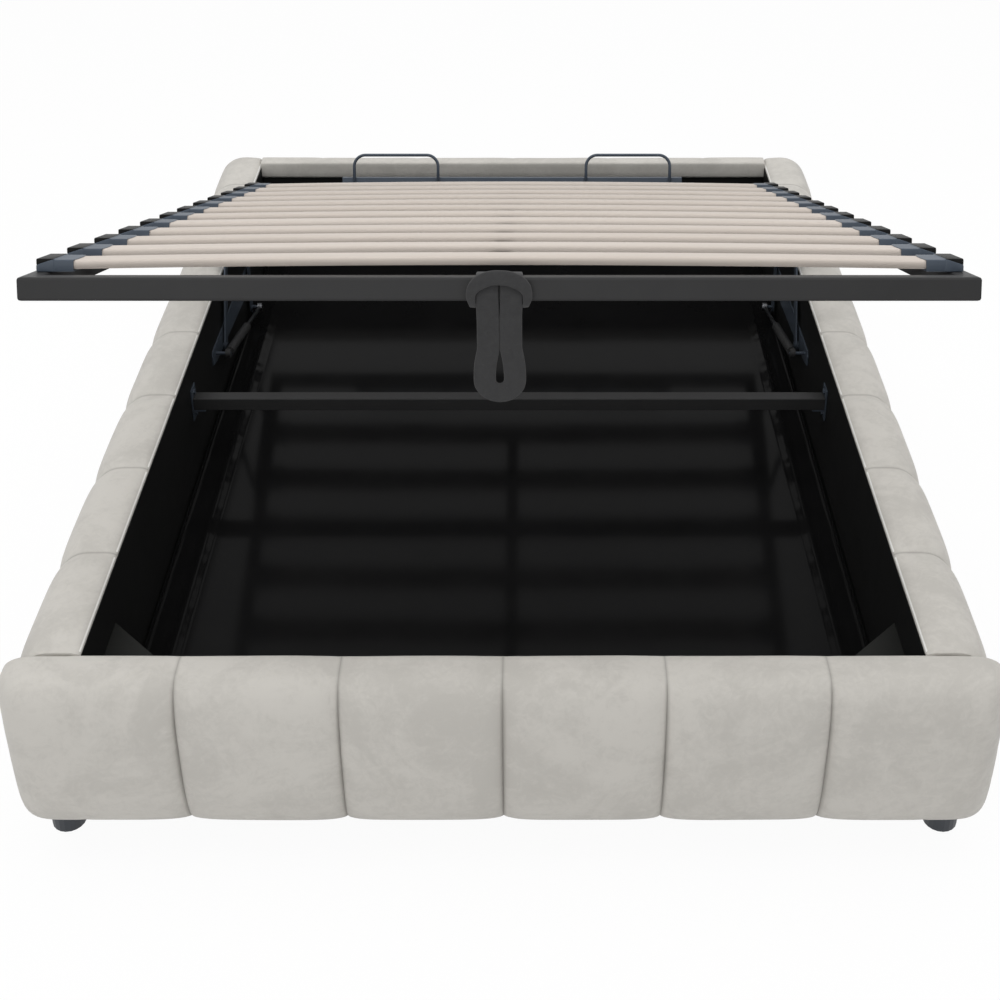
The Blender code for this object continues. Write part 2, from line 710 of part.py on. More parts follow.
def lever_end(platform_pivot):
    """Lower end of the rear arm, past its wall pivot and in line with it."""
    angle = heading(platform_pivot, REAR_WALL)
    return (REAR_WALL[0] + LEVER_LENGTH * cos(angle), REAR_WALL[1] + LEVER_LENGTH * sin(angle))


LEVER_RAISED = lever_end(REAR_RAISED)
LEVER_CLOSED = lever_end(REAR_CLOSED)

# Where each layer of the linkage lies across the bed, outwards from the middle
WALL_FACE = WELL_HALF - FIT
FLANGE_FACE = WALL_FACE - FLANGE_THICK
ARM_OUT = FLANGE_FACE - ARM_WALL_SPACE
ARM_IN = ARM_OUT - ARM_THICK
TAB_OUT = PLATFORM_WIDTH / 2 - TAB_INSET
TAB_IN = TAB_OUT - TAB_THICK
STRUT_X = WELL_HALF - STRUT_INSET


def wall_brackets(well):
    """Steel plates screwed to the side boards, with the pins that carry both arms and the strut."""
    nose = (STRUT_WALL[0] - FLANGE_NOSE, STRUT_WALL[1])
    outline = [
        (nose[0], nose[1] + FLANGE_RIM / 2),
        (nose[0], nose[1] - FLANGE_RIM / 2),
        (STRUT_WALL[0], STRUT_WALL[1] - FLANGE_RIM),
        (REAR_WALL[0] - FLANGE_RIM, REAR_WALL[1] - FLANGE_RIM),
        (REAR_WALL[0] + FLANGE_RIM / 2, REAR_WALL[1] - FLANGE_RIM),
        (REAR_WALL[0] + FLANGE_RIM, REAR_WALL[1] - FLANGE_RIM / 2),
        (REAR_WALL[0] + FLANGE_RIM, REAR_WALL[1] + FLANGE_RIM),
        (REAR_WALL[0] + FLANGE_RIM / 2, REAR_WALL[1] + 2 * FLANGE_RIM),
        (STRUT_WALL[0], STRUT_WALL[1] + FLANGE_RIM),
        (nose[0] + FLANGE_RIM / 2, nose[1] + FLANGE_RIM),
    ]
    for side, name in ((-1, "left"), (1, "right")):
        plate = piece(
            f"wall_bracket_{name}", prism(outline, side * FLANGE_FACE, side * WALL_FACE), "blue_steel", well
        )
        deep = side * (FLANGE_FACE + FLANGE_THICK / 2)
        bosses = bmesh.new()
        for y, z in (FRONT_WALL, REAR_WALL):
            cylinder_x(bosses, deep, side * (ARM_OUT + ARM_SIDE_GAP), y, z, PIN_SPACER_RADIUS)
        boolean(plate, piece(f"join_bosses_{name}", bosses, "blue_steel", well), "UNION")
        pins = bmesh.new()
        head = ARM_IN - ARM_SIDE_GAP
        for y, z in (FRONT_WALL, REAR_WALL):
            cylinder_x(pins, deep, side * (head - PIN_HEAD / 2), y, z, PIN_RADIUS)
        far = STRUT_X - STRUT_EYE_HALF - ARM_SIDE_GAP
        cylinder_x(pins, deep, side * far, *STRUT_WALL, STRUT_PIN_RADIUS)
        boolean(plate, piece(f"join_pins_{name}", pins, "blue_steel", well), "UNION")
        heads = bmesh.new()
        for y, z in (FRONT_WALL, REAR_WALL):
            cylinder_x(heads, side * head, side * (head - PIN_HEAD), y, z, PIN_HEAD_RADIUS)
        boolean(plate, piece(f"join_heads_{name}", heads, "blue_steel", well), "UNION")


def hole_x(target, name, side, y, z, radius, parent):
    """Drills a pin hole along X through an arm or an eye."""
    bm = bmesh.new()
    low, high = side * (STRUT_X - OVERRUN), side * (WELL_HALF + OVERRUN)
    cylinder_x(bm, low, high, y, z, radius)
    boolean(target, piece(name, bm, "blue_steel", parent), "DIFFERENCE")


def front_arms(well):
    """The long arms, drawn along +Y from the wall pivot and turned to the raised place."""
    axis = empty("front_arm_axis", (0, *FRONT_WALL), (heading(FRONT_WALL, FRONT_RAISED), 0, 0), well)
    for side, name in ((-1, "left"), (1, "right")):
        outline = stadium(((0, 0), (FRONT_ARM_LENGTH, 0)), ARM_WIDTH / 2)
        arm = piece(f"front_arm_{name}", prism(outline, side * ARM_IN, side * ARM_OUT), "blue_steel", axis)
        for y in (0.0, FRONT_ARM_LENGTH):
            hole_x(arm, f"cut_front_arm_{name}", side, y, 0.0, PIN_RADIUS + PIN_PLAY, axis)


def rear_arms(well):
    """The short arms, which run on past the wall pivot as the lever that the strut pushes."""
    axis = empty("rear_arm_axis", (0, *REAR_WALL), (heading(REAR_WALL, REAR_RAISED), 0, 0), well)
    for side, name in ((-1, "left"), (1, "right")):
        outline = stadium(((-LEVER_LENGTH, 0), (REAR_ARM_LENGTH, 0)), ARM_WIDTH / 2)
        arm = piece(f"rear_arm_{name}", prism(outline, side * ARM_IN, side * ARM_OUT), "blue_steel", axis)
        hole_x(arm, f"cut_rear_arm_{name}", side, 0.0, 0.0, PIN_RADIUS + PIN_PLAY, axis)
        stud = bmesh.new()
        middle = side * (ARM_IN + ARM_THICK / 2)
        tip = side * (STRUT_X + STRUT_EYE_HALF + OPEN_PIVOT_GAP)
        cylinder_x(stud, middle, tip, -LEVER_LENGTH, 0.0, STRUT_PIN_RADIUS)
        boolean(arm, piece(f"join_stud_{name}", stud, "blue_steel", axis), "UNION")


def rod_along_y(bm, y_from, y_to, x, radius):
    """Adds a round bar along Y."""
    turn = Matrix.Rotation(-pi / 2, 4, "X")
    place = Matrix.Translation((x, (y_from + y_to) / 2, 0.0)) @ turn
    length = y_to - y_from
    bmesh.ops.create_cone(
        bm, cap_ends=True, segments=STRUT_SIDES, radius1=radius, radius2=radius, depth=length, matrix=place
    )


def struts(well):
    """Gas struts: a cylinder hung on the wall bracket and a rod that ends beside the rear arm's lever."""
    length = distance(STRUT_WALL, LEVER_RAISED)
    axis = empty("strut_axis", (0, *STRUT_WALL), (heading(STRUT_WALL, LEVER_RAISED), 0, 0), well)
    for side, name in ((-1, "left"), (1, "right")):
        x = side * STRUT_X
        eye = bmesh.new()
        cylinder_x(eye, x - STRUT_EYE_HALF, x + STRUT_EYE_HALF, 0.0, 0.0, STRUT_EYE_RADIUS)
        body = piece(f"strut_cylinder_{name}", eye, "black_steel", axis, smooth=True)
        neck = bmesh.new()
        rod_along_y(neck, STRUT_EYE_RADIUS / 2, STRUT_NECK + STRUT_EYE_RADIUS, x, STRUT_ROD_RADIUS)
        boolean(body, piece(f"join_neck_{name}", neck, "black_steel", axis), "UNION")
        barrel = bmesh.new()
        rod_along_y(barrel, STRUT_NECK, STRUT_BODY_LENGTH, x, STRUT_RADIUS)
        boolean(body, piece(f"join_barrel_{name}", barrel, "black_steel", axis), "UNION")
        bore = bmesh.new()
        bore_start = STRUT_NECK + STRUT_BACK_WALL
        rod_along_y(bore, bore_start, STRUT_BODY_LENGTH + OVERRUN, x, STRUT_ROD_RADIUS + STRUT_BORE_PLAY)
        boolean(body, piece(f"cut_bore_{name}", bore, "black_steel", axis), "DIFFERENCE")
        hole_x(body, f"cut_eye_{name}", side, 0.0, 0.0, STRUT_PIN_RADIUS + PIN_PLAY, axis)

        tip = bmesh.new()
        cylinder_x(tip, x - STRUT_EYE_HALF, x + STRUT_EYE_HALF, length, 0.0, STRUT_EYE_RADIUS)
        rod = piece(f"strut_rod_{name}", tip, "chrome_rod", axis, smooth=True)
        shaft = bmesh.new()
        stroke = length - distance(STRUT_WALL, LEVER_CLOSED)
        rod_start = bore_start + stroke + OVERRUN
        rod_along_y(shaft, rod_start, length - STRUT_EYE_RADIUS / 2, x, STRUT_ROD_RADIUS)
        boolean(rod, piece(f"join_shaft_{name}", shaft, "chrome_rod", axis), "UNION")


# Platform


def platform_datum(well):
    """Frame on the raised platform: y along it from its foot face, z up from the top of its tubes."""
    place = (0, PLATFORM_RAISED_Y, RAIL_TOP + PLATFORM_RAISED_RISE)
    return empty("platform_datum", place, (-radians(PLATFORM_TILT), 0, 0), well)


def platform_frame(datum):
    """Four mitred steel tubes."""
    outer, inner = tube_section(TUBE_WIDTH, TUBE_HEIGHT, TUBE_WALL, TUBE_CORNER, TUBE_INNER_CORNER)
    half, length = PLATFORM_WIDTH / 2, PLATFORM_LENGTH

    for name, end in (("foot", 0), ("head", 1)):

        def across(side, end=end):
            def put(y, z):
                along = length - y if end else y
                return (side * (half - y - FIT), along, z)

            return put

        bar = hollow_bar(outer, inner, across(-1), across(1))
        piece(f"platform_tube_{name}", bar, "black_steel", datum, smooth=True)
    for name, side in (("left", -1), ("right", 1)):

        def along(end, side=side):
            def put(y, z):
                place = length - y - FIT if end else y + FIT
                return (side * (half - y), place, z)

            return put

        bar = hollow_bar(outer, inner, along(0), along(1))
        piece(f"platform_tube_{name}", bar, "black_steel", datum, smooth=True)


def platform_brackets(datum):
    """Angle plates under the side tubes, with the pin of the front arm and the seat of the rear arm."""
    front = FRONT_PIVOT_Y - PLATFORM_FOOT_GAP
    rear = REAR_PIVOT_Y - PLATFORM_FOOT_GAP
    top = -TUBE_HEIGHT - FIT
    for side, name in ((-1, "left"), (1, "right")):
        low, high = -PIVOT_HANG - TAB_RIM, top
        outline = (
            (front - TAB_END, high),
            (front - TAB_END, high - TAB_FLANGE_THICK),
            (front - TAB_RIM / 2, low),
            (rear + TAB_RIM / 2, low),
            (rear + TAB_END, high - TAB_FLANGE_THICK),
            (rear + TAB_END, high),
        )
        plate = piece(
            f"platform_bracket_{name}", prism(outline, side * TAB_IN, side * TAB_OUT), "blue_steel", datum
        )
        flange = bmesh.new()
        x_low = TAB_OUT - TAB_FLANGE_WIDTH
        x_high = TAB_IN + TAB_THICK / 2
        xs = sorted((side * x_low, side * x_high))
        box(
            flange,
            (xs[0], front - TAB_END, high - TAB_FLANGE_THICK),
            (xs[1], rear + TAB_END, high),
        )
        boolean(plate, piece(f"join_flange_{name}", flange, "blue_steel", datum), "UNION")
        middle = side * (TAB_IN + TAB_THICK / 2)
        bosses = bmesh.new()
        cylinder_x(bosses, middle, side * (ARM_IN - ARM_SIDE_GAP), front, -PIVOT_HANG, PIN_SPACER_RADIUS)
        cylinder_x(bosses, middle, side * (ARM_IN - OPEN_PIVOT_GAP), rear, -PIVOT_HANG, PIN_SPACER_RADIUS)
        boolean(plate, piece(f"join_spacers_{name}", bosses, "blue_steel", datum), "UNION")
        pin = bmesh.new()
        head = ARM_OUT + ARM_SIDE_GAP
        cylinder_x(pin, middle, side * (head + PIN_HEAD / 2), front, -PIVOT_HANG, PIN_RADIUS)
        boolean(plate, piece(f"join_pin_{name}", pin, "blue_steel", datum), "UNION")
        cap = bmesh.new()
        cylinder_x(cap, side * head, side * (head + PIN_HEAD), front, -PIVOT_HANG, PIN_HEAD_RADIUS)
        boolean(plate, piece(f"join_cap_{name}", cap, "blue_steel", datum), "UNION")


def slat_places():
    return [FIRST_SLAT_IN + SLAT_PITCH * i for i in range(SLAT_COUNT)]


HOLDER_OUT = PLATFORM_WIDTH / 2 - HOLDER_INSET
HOLDER_IN = HOLDER_OUT - HOLDER_LENGTH
SLAT_HALF = HOLDER_IN + SLAT_SINK
HOLDER_BOTTOM = FIT
SLAT_BOTTOM = HOLDER_BOTTOM + HOLDER_FLOOR + HOLDER_PLAY
HOLDER_TOP = SLAT_BOTTOM + SLAT_THICK + HOLDER_PLAY + HOLDER_WALL


def slats(datum):
    """Sprung slats with eased edges, bowed up a little between their holders."""
    half_width = SLAT_WIDTH / 2
    outline = rounded_rectangle(-half_width, half_width, 0, SLAT_THICK, SLAT_EDGE, 1)
    straight = HOLDER_IN
    for i, along in enumerate(slat_places()):
        rings = []
        xs = [-SLAT_HALF]
        xs += [-straight + 2 * straight * k / SLAT_SPANS for k in range(SLAT_SPANS + 1)]
        xs += [SLAT_HALF]
        for x in xs:
            share = min(1.0, abs(x) / straight)
            rise = SLAT_BOTTOM + SLAT_BOW * (1 - share**2)
            rings.append([(x, along + y, rise + z) for y, z in outline])
        piece(f"slat_{i + 1:02d}", loft(rings), "slat", datum, smooth=True)


def slat_holders(datum):
    """A row of pockets on each side tube, joined by a base strip, that hold the slat ends."""
    places = slat_places()
    half = SLAT_WIDTH / 2 + HOLDER_PLAY + HOLDER_WALL
    for side, name in ((-1, "left"), (1, "right")):
        base = bmesh.new()
        xs = sorted((side * (HOLDER_OUT - HOLDER_WALL / 2), side * (HOLDER_OUT - HOLDER_BASE_WIDTH)))
        box(
            base,
            (xs[0], places[0], HOLDER_BOTTOM),
            (xs[1], places[-1], HOLDER_BOTTOM + HOLDER_BASE_THICK),
        )
        strip = piece(f"slat_holders_{name}", base, "holder", datum)
        caps = bmesh.new()
        xs = sorted((side * HOLDER_OUT, side * HOLDER_IN))
        for along in places:
            box(caps, (xs[0], along - half, HOLDER_BOTTOM), (xs[1], along + half, HOLDER_TOP))
        above = [e for e in caps.edges if all(v.co.z > HOLDER_BOTTOM + HOLDER_FLOOR for v in e.verts)]
        bmesh.ops.bevel(caps, geom=above, offset=HOLDER_CHAMFER, segments=1, profile=0.5, affect="EDGES")
        boolean(strip, piece(f"join_caps_{name}", caps, "holder", datum), "UNION")
        pockets = bmesh.new()
        xs = sorted((side * (SLAT_HALF + FIT), side * (HOLDER_IN - OVERRUN)))
        reach = SLAT_WIDTH / 2 + HOLDER_PLAY
        for along in places:
            box(
                pockets,
                (xs[0], along - reach, SLAT_BOTTOM - HOLDER_PLAY),
                (xs[1], along + reach, SLAT_BOTTOM + SLAT_THICK + HOLDER_PLAY),
            )
        boolean(strip, piece(f"cut_pockets_{name}", pockets, "holder", datum), "DIFFERENCE")


def mattress_stop(datum):
    """A tube on the head end of the frame with two wire hoops that keep the mattress from sliding."""
    outer, inner = tube_section(STOP_DEPTH, STOP_HEIGHT, STOP_WALL, TUBE_CORNER / 2, TUBE_INNER_CORNER)
    front = PLATFORM_LENGTH - TUBE_WIDTH / 2 - STOP_DEPTH / 2
    top = STOP_HEIGHT + FIT
    half = STOP_LENGTH / 2
    bar = hollow_bar(
        outer,
        inner,
        lambda y, z: (-half, front + y, top + z),
        lambda y, z: (half, front + y, top + z),
    )
    piece("mattress_stop_rail", bar, "blue_steel", datum, smooth=True)
    wire = HOOP_WIRE / 2
    y = front - FIT - wire
    for side, name in ((-1, "left"), (1, "right")):
        centre = side * HOOP_SPACING / 2
        reach = HOOP_WIDTH / 2 - wire
        crest = HOOP_TOP - wire
        hub_z = crest - HOOP_CORNER
        points = [(centre - reach, HOOP_FOOT)]
        for turn in (0, 1):
            hub_x = centre + (2 * turn - 1) * (reach - HOOP_CORNER)
            for i in range(HOOP_CORNER_STEPS + 1):
                angle = pi - pi / 2 * (turn + i / HOOP_CORNER_STEPS)
                points.append((hub_x + HOOP_CORNER * cos(angle), hub_z + HOOP_CORNER * sin(angle)))
        points.append((centre + reach, HOOP_FOOT))
        curve = bpy.data.curves.new(f"mattress_hoop_{name}", "CURVE")
        curve.dimensions = "3D"
        curve.bevel_depth = wire
        curve.bevel_resolution = 2
        curve.use_fill_caps = True
        line = curve.splines.new("POLY")
        line.points.add(len(points) - 1)
        for knot, (x, z) in zip(line.points, points):
            knot.co = (x, y, z, 1.0)
        hoop = bpy.data.objects.new(f"mattress_hoop_{name}", curve)
        bpy.context.scene.collection.objects.link(hoop)
        curve.materials.append(material("blue_steel"))
        hoop.parent = datum


# Lift strap


def strap_pivot():
    """Where the hanging part leaves the collar, on the platform datum."""
    return (-STRAP_PIVOT_OUT, -STRAP_PIVOT_DOWN)


def lift_strap(datum):
    """A collar hitched round the foot tube, and the band with a finger slot that hangs plumb from it."""

    def wrapped(off, corner):
        return rounded_rectangle(-off, TUBE_WIDTH + off, -TUBE_HEIGHT - off, off, corner, CORNER_STEPS)

    inner = wrapped(STRAP_PLAY, TUBE_CORNER)
    outer = wrapped(STRAP_PLAY + STRAP_THICK, TUBE_CORNER + STRAP_THICK)
    half = STRAP_COLLAR_WIDTH / 2
    collar = hollow_bar(outer, inner, lambda y, z: (-half, y, z), lambda y, z: (half, y, z))
    collar_piece = piece("lift_strap_collar", collar, "strap", datum, smooth=True)
    notch = bmesh.new()
    y, z = strap_pivot()
    reach = STRAP_WIDTH / 2 + STRAP_PLAY
    box(notch, (-reach, -OVERRUN, -TUBE_HEIGHT - OVERRUN), (reach, 0.0, z + STRAP_HEAD + STRAP_THICK))
    boolean(collar_piece, piece("cut_collar", notch, "strap", datum), "DIFFERENCE")
    under = bmesh.new()
    box(under, (-reach, -OVERRUN, -TUBE_HEIGHT - OVERRUN), (reach, TUBE_WIDTH / 2, -TUBE_HEIGHT))
    boolean(collar_piece, piece("cut_collar_under", under, "strap", datum), "DIFFERENCE")

    axis = empty("strap_axis", (0, y, z), (radians(PLATFORM_TILT), 0, 0), datum)
    round_end = STRAP_WIDTH / 2
    outline = [(STRAP_WIDTH / 2, STRAP_HEAD), (-STRAP_WIDTH / 2, STRAP_HEAD)]
    for i in range(STRAP_ROUND_STEPS + 1):
        angle = pi + pi * i / STRAP_ROUND_STEPS
        outline.append((round_end * cos(angle), -STRAP_LENGTH + round_end + round_end * sin(angle)))
    bm = bmesh.new()
    face = bm.faces.new([bm.verts.new((x, -STRAP_THICK / 2, z)) for x, z in outline])
    grown = bmesh.ops.extrude_face_region(bm, geom=[face])
    moved = [v for v in grown["geom"] if isinstance(v, bmesh.types.BMVert)]
    bmesh.ops.translate(bm, verts=moved, vec=(0, STRAP_THICK, 0))
    strap = piece("lift_strap", bm, "strap", axis)
    slot = bmesh.new()
    low = -STRAP_LENGTH + STRAP_SLOT_RISE
    box(
        slot,
        (-STRAP_SLOT_WIDTH / 2, -OVERRUN, low),
        (STRAP_SLOT_WIDTH / 2, OVERRUN, low + STRAP_SLOT_HEIGHT),
    )
    boolean(strap, piece("cut_strap_slot", slot, "strap", axis), "DIFFERENCE")


def say(label, point):
    """Prints a (y, z) place of the well as a world place."""
    print(f"{label}: (0, {point[0] + WELL_FOOT_Y:.5f}, {point[1]:.5f})")


def report_linkage(datum):
    """Prints the joints' places, ranges and ratios, counted from the raised place."""
    front = heading(FRONT_WALL, FRONT_CLOSED) - heading(FRONT_WALL, FRONT_RAISED)
    rear = heading(REAR_WALL, REAR_CLOSED) - heading(REAR_WALL, REAR_RAISED)
    strut = heading(STRUT_WALL, LEVER_CLOSED) - heading(STRUT_WALL, LEVER_RAISED)
    slide = distance(STRUT_WALL, LEVER_CLOSED) - distance(STRUT_WALL, LEVER_RAISED)
    tilt = radians(PLATFORM_TILT)
    hang_turn = radians(STRAP_CLOSED_LEAN) - tilt
    say("front arm wall pivot", FRONT_WALL)
    say("front arm platform pivot, raised", FRONT_RAISED)
    say("rear arm wall pivot", REAR_WALL)
    say("rear arm platform pivot, raised", REAR_RAISED)
    say("strut wall pivot", STRUT_WALL)
    say("strut lever end, raised", LEVER_RAISED)
    y, z = strap_pivot()
    hang = turn_point((PLATFORM_RAISED_Y + y, RAIL_TOP + PLATFORM_RAISED_RISE + z),
                      (PLATFORM_RAISED_Y, RAIL_TOP + PLATFORM_RAISED_RISE), -tilt)
    say("strap pivot, raised", hang)
    print(f"front arm closes by {degrees(front):.4f} deg")
    print(f"rear arm {degrees(rear):.4f} deg, ratio {rear / front:.6f}")
    print(f"platform on the front arm {degrees(tilt - front):.4f} deg, ratio {(tilt - front) / front:.6f}")
    print(f"strap on the platform {degrees(hang_turn):.4f} deg, ratio {hang_turn / front:.6f}")
    print(f"strut {degrees(strut):.4f} deg, ratio {strut / front:.6f}")
    print(f"rod {slide:.5f} m, ratio {slide / front:.6f} m/rad")
    angle = heading(STRUT_WALL, LEVER_RAISED)
    print(f"rod axis (0, {cos(angle):.6f}, {sin(angle):.6f})")


clear_scene()
WELL = empty("well_datum", (0, WELL_FOOT_Y, 0))
side_rails(WELL)
foot_rail(WELL)
head_rail(WELL)
gussets(WELL)
cross_rail(WELL)
well_floor(WELL)
feet(WELL)
wall_brackets(WELL)
front_arms(WELL)
rear_arms(WELL)
struts(WELL)
PLATFORM = platform_datum(WELL)
platform_frame(PLATFORM)
platform_brackets(PLATFORM)
slats(PLATFORM)
slat_holders(PLATFORM)
mattress_stop(PLATFORM)
lift_strap(PLATFORM)
report_linkage(PLATFORM)
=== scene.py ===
# %% [markdown]
# # Dressing a storage bed
#
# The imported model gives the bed's construction: rails, platform, slats and the lift. This lesson gives it its
# looks. Hard pieces keep their shape and get a finish, and soft pieces are modelled again as fabric. The
# photograph shows a padded velvet frame, seen from its foot end, with the slatted platform raised over a
# black well.

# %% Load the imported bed
import json
from math import ceil, cos, pi, radians, sin

import bmesh
import bpy
from mathutils import Matrix, Vector, noise


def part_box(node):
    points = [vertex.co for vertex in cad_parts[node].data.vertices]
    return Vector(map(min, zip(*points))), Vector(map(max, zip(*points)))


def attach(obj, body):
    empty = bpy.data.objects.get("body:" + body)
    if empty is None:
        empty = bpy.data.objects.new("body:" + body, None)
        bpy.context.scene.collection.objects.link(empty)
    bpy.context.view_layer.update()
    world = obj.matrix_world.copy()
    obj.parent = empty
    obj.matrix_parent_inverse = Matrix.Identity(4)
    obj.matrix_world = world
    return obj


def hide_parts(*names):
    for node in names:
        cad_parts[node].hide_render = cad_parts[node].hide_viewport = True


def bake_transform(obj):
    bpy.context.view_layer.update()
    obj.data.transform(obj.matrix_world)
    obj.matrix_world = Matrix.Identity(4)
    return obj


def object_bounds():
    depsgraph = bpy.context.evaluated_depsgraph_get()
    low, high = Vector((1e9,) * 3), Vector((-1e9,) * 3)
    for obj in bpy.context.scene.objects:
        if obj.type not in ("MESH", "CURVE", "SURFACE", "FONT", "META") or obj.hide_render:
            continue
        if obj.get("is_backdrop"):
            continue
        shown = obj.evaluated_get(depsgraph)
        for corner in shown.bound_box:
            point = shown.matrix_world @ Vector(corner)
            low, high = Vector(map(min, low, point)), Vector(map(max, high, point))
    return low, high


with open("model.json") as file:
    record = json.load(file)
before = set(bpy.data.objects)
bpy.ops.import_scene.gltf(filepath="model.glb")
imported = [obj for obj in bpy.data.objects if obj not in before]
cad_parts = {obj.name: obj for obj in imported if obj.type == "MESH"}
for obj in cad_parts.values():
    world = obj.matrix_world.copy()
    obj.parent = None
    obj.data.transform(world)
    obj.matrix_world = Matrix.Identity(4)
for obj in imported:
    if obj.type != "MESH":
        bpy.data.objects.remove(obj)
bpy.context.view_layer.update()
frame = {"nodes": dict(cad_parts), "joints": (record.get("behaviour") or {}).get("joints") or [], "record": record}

NODES = frame["nodes"]
MM = 0.001

# %% [markdown]
# ## Places from the frame
#
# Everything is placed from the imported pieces: the black boards give the well that the padding stands round,
# and the strap's joint gives the tilted datum of the raised platform. On that datum y runs along the platform
# from the outer face of its foot tube, and z rises from the top of its tubes.

# %% Read the places
FIT = 0.3 * MM
WELL_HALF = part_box("rail_core_right")[0].x
BOARD_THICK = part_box("rail_core_right")[1].x - WELL_HALF
WELL_FOOT_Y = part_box("rail_core_foot")[1].y
WELL_HEAD_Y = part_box("rail_pad_head")[0].y - FIT
LINING_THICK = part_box("rail_core_head")[0].y - WELL_HEAD_Y
BOARD_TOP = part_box("rail_core_foot")[1].z
RAIL_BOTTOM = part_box("rail_core_foot")[0].z
BOARD_TOP_DROP = 10 * MM
RAIL_TOP = BOARD_TOP + BOARD_TOP_DROP
PLATFORM_TILT = radians(20.8)
STRAP_PIVOT_OUT = 6.5 * MM
STRAP_PIVOT_DOWN = 30 * MM
STRAP_PIVOT = Vector(next(j for j in frame["joints"] if j["name"] == "strap_hang")["pos_m"])
TO_WORLD = Matrix.Rotation(-PLATFORM_TILT, 4, "X")
DATUM = STRAP_PIVOT - TO_WORLD @ Vector((0, -STRAP_PIVOT_OUT, -STRAP_PIVOT_DOWN))
TO_WORLD = Matrix.Translation(DATUM) @ TO_WORLD
print(f"platform datum at {tuple(round(v, 4) for v in DATUM)}")

# %% [markdown]
# ## Camera
#
# The photograph looks down on the foot end from a little above the raised platform. Its upright edges stay
# nearly parallel, as in a view that is cropped from a wider picture, so the camera looks less steeply than
# the framing asks for, and the lens is shifted down to bring the bed to the middle.

# %% Camera
def into_scene(name, data):
    """A new object for some data, linked to the scene."""
    made = bpy.data.objects.new(name, data)
    bpy.context.scene.collection.objects.link(made)
    return made


CAMERA_PLACE = (0.040, -2.985, 2.161)
CAMERA_PITCH = radians(28.75)
CAMERA_LENS = 55.9
CAMERA_SHIFT = (-0.027, -0.200)
lens = bpy.data.cameras.new("view")
lens.lens = CAMERA_LENS
lens.shift_x, lens.shift_y = CAMERA_SHIFT
camera = into_scene("view", lens)
camera.location = CAMERA_PLACE
camera.rotation_euler = (pi / 2 - CAMERA_PITCH, 0, 0)
bpy.context.scene.camera = camera
print("camera", CAMERA_PLACE)

# %% [markdown]
# ## Writing shaders as sums
#
# A material is a graph, and its maths is easier to read as Python. `Wire` holds one output and turns each
# operator into a Math node. `Graph` holds a node tree and makes every other node through one method. `Finish`
# is the graph of a material. A noise is given by its scale, detail, roughness and distortion.


# %% Shader helpers
class Wire:
    """One output of a shader graph."""

    def __init__(self, graph, socket):
        self.graph, self.socket = graph, socket

    def math(self, operation, first, second):
        return self.graph.node("ShaderNodeMath", {"operation": operation}, {0: first, 1: second})

    def sibling(self, name):
        """Another output of the same node."""
        return Wire(self.graph, self.socket.node.outputs[name])


# Each Python operator on a wire, also with a number on its left, adds the Math node of that name.
for word, operation in (("add", "ADD"), ("sub", "SUBTRACT"), ("mul", "MULTIPLY"), ("pow", "POWER")):
    setattr(Wire, f"__{word}__", lambda self, other, kind=operation: self.math(kind, self, other))
    setattr(Wire, f"__r{word}__", lambda self, other, kind=operation: self.math(kind, other, self))


class Graph:
    """A node tree."""

    def __init__(self, tree):
        self.tree = tree

    def node(self, kind, settings, sockets, output=0):
        """Adds a node: its settings first, then the values or links of its sockets."""
        made = self.tree.nodes.new(kind)
        for setting, value in settings.items():
            setattr(made, setting, value)
        for name, value in sockets.items():
            if isinstance(value, Wire):
                self.tree.links.new(value.socket, made.inputs[name])
            else:
                made.inputs[name].default_value = value
        return Wire(self, made.outputs[output])


class Finish(Graph):
    """A material: fixed values go on its shader's own sockets, and set() links what varies."""

    def __init__(self, name, **fixed):
        self.material = bpy.data.materials.new(name)
        self.material.use_nodes = True
        super().__init__(self.material.node_tree)
        self.shader = self.tree.nodes["Principled BSDF"]
        for word, value in fixed.items():
            self.socket(word).default_value = value
        self.place = self.node("ShaderNodeTexCoord", {}, {}, "Object")

    def socket(self, word):
        """The shader's socket for a name such as base_color."""
        return self.shader.inputs[word.replace("_", " ").title().replace("Ior", "IOR")]

    def noise(self, scale, detail=2.0, roughness=0.5, distortion=0.0, place=None):
        sockets = {"Scale": scale, "Detail": detail, "Roughness": roughness, "Distortion": distortion}
        sockets["Vector"] = place or self.place
        return self.node("ShaderNodeTexNoise", {}, sockets, "Fac")

    def scaled(self, vector, scale):
        return self.node("ShaderNodeVectorMath", {"operation": "MULTIPLY"}, {0: vector, 1: scale})

    def stretched(self, scale, turn=(0, 0, 0)):
        """Object coordinates, turned to run with the piece and then squeezed."""
        turned = self.node("ShaderNodeMapping", {}, {"Vector": self.place, "Rotation": turn})
        return self.scaled(turned, scale)

    def between(self, value, low, high):
        """A value taken from low..high to 0..1, with soft ends."""
        sockets = {"Value": value, "From Min": low, "From Max": high}
        return self.node("ShaderNodeMapRange", {"interpolation_type": "SMOOTHSTEP"}, sockets)

    def mix(self, factor, first, second):
        return self.node("ShaderNodeMix", {"data_type": "RGBA"}, {0: factor, 6: first, 7: second}, 2)

    def bump(self, height, distance, strength=1.0, after=None):
        sockets = {"Height": height, "Distance": distance, "Strength": strength}
        if after:
            sockets["Normal"] = after
        return self.node("ShaderNodeBump", {}, sockets)

    def eased(self, radius):
        """A normal that rounds hard edges a little, as a coat of paint does."""
        return self.node("ShaderNodeBevel", {"samples": 4}, {"Radius": radius})

    def set(self, **wires):
        for word, wire in wires.items():
            self.tree.links.new(wire.socket, self.socket(word))
        return self.material


FINISHES = {}

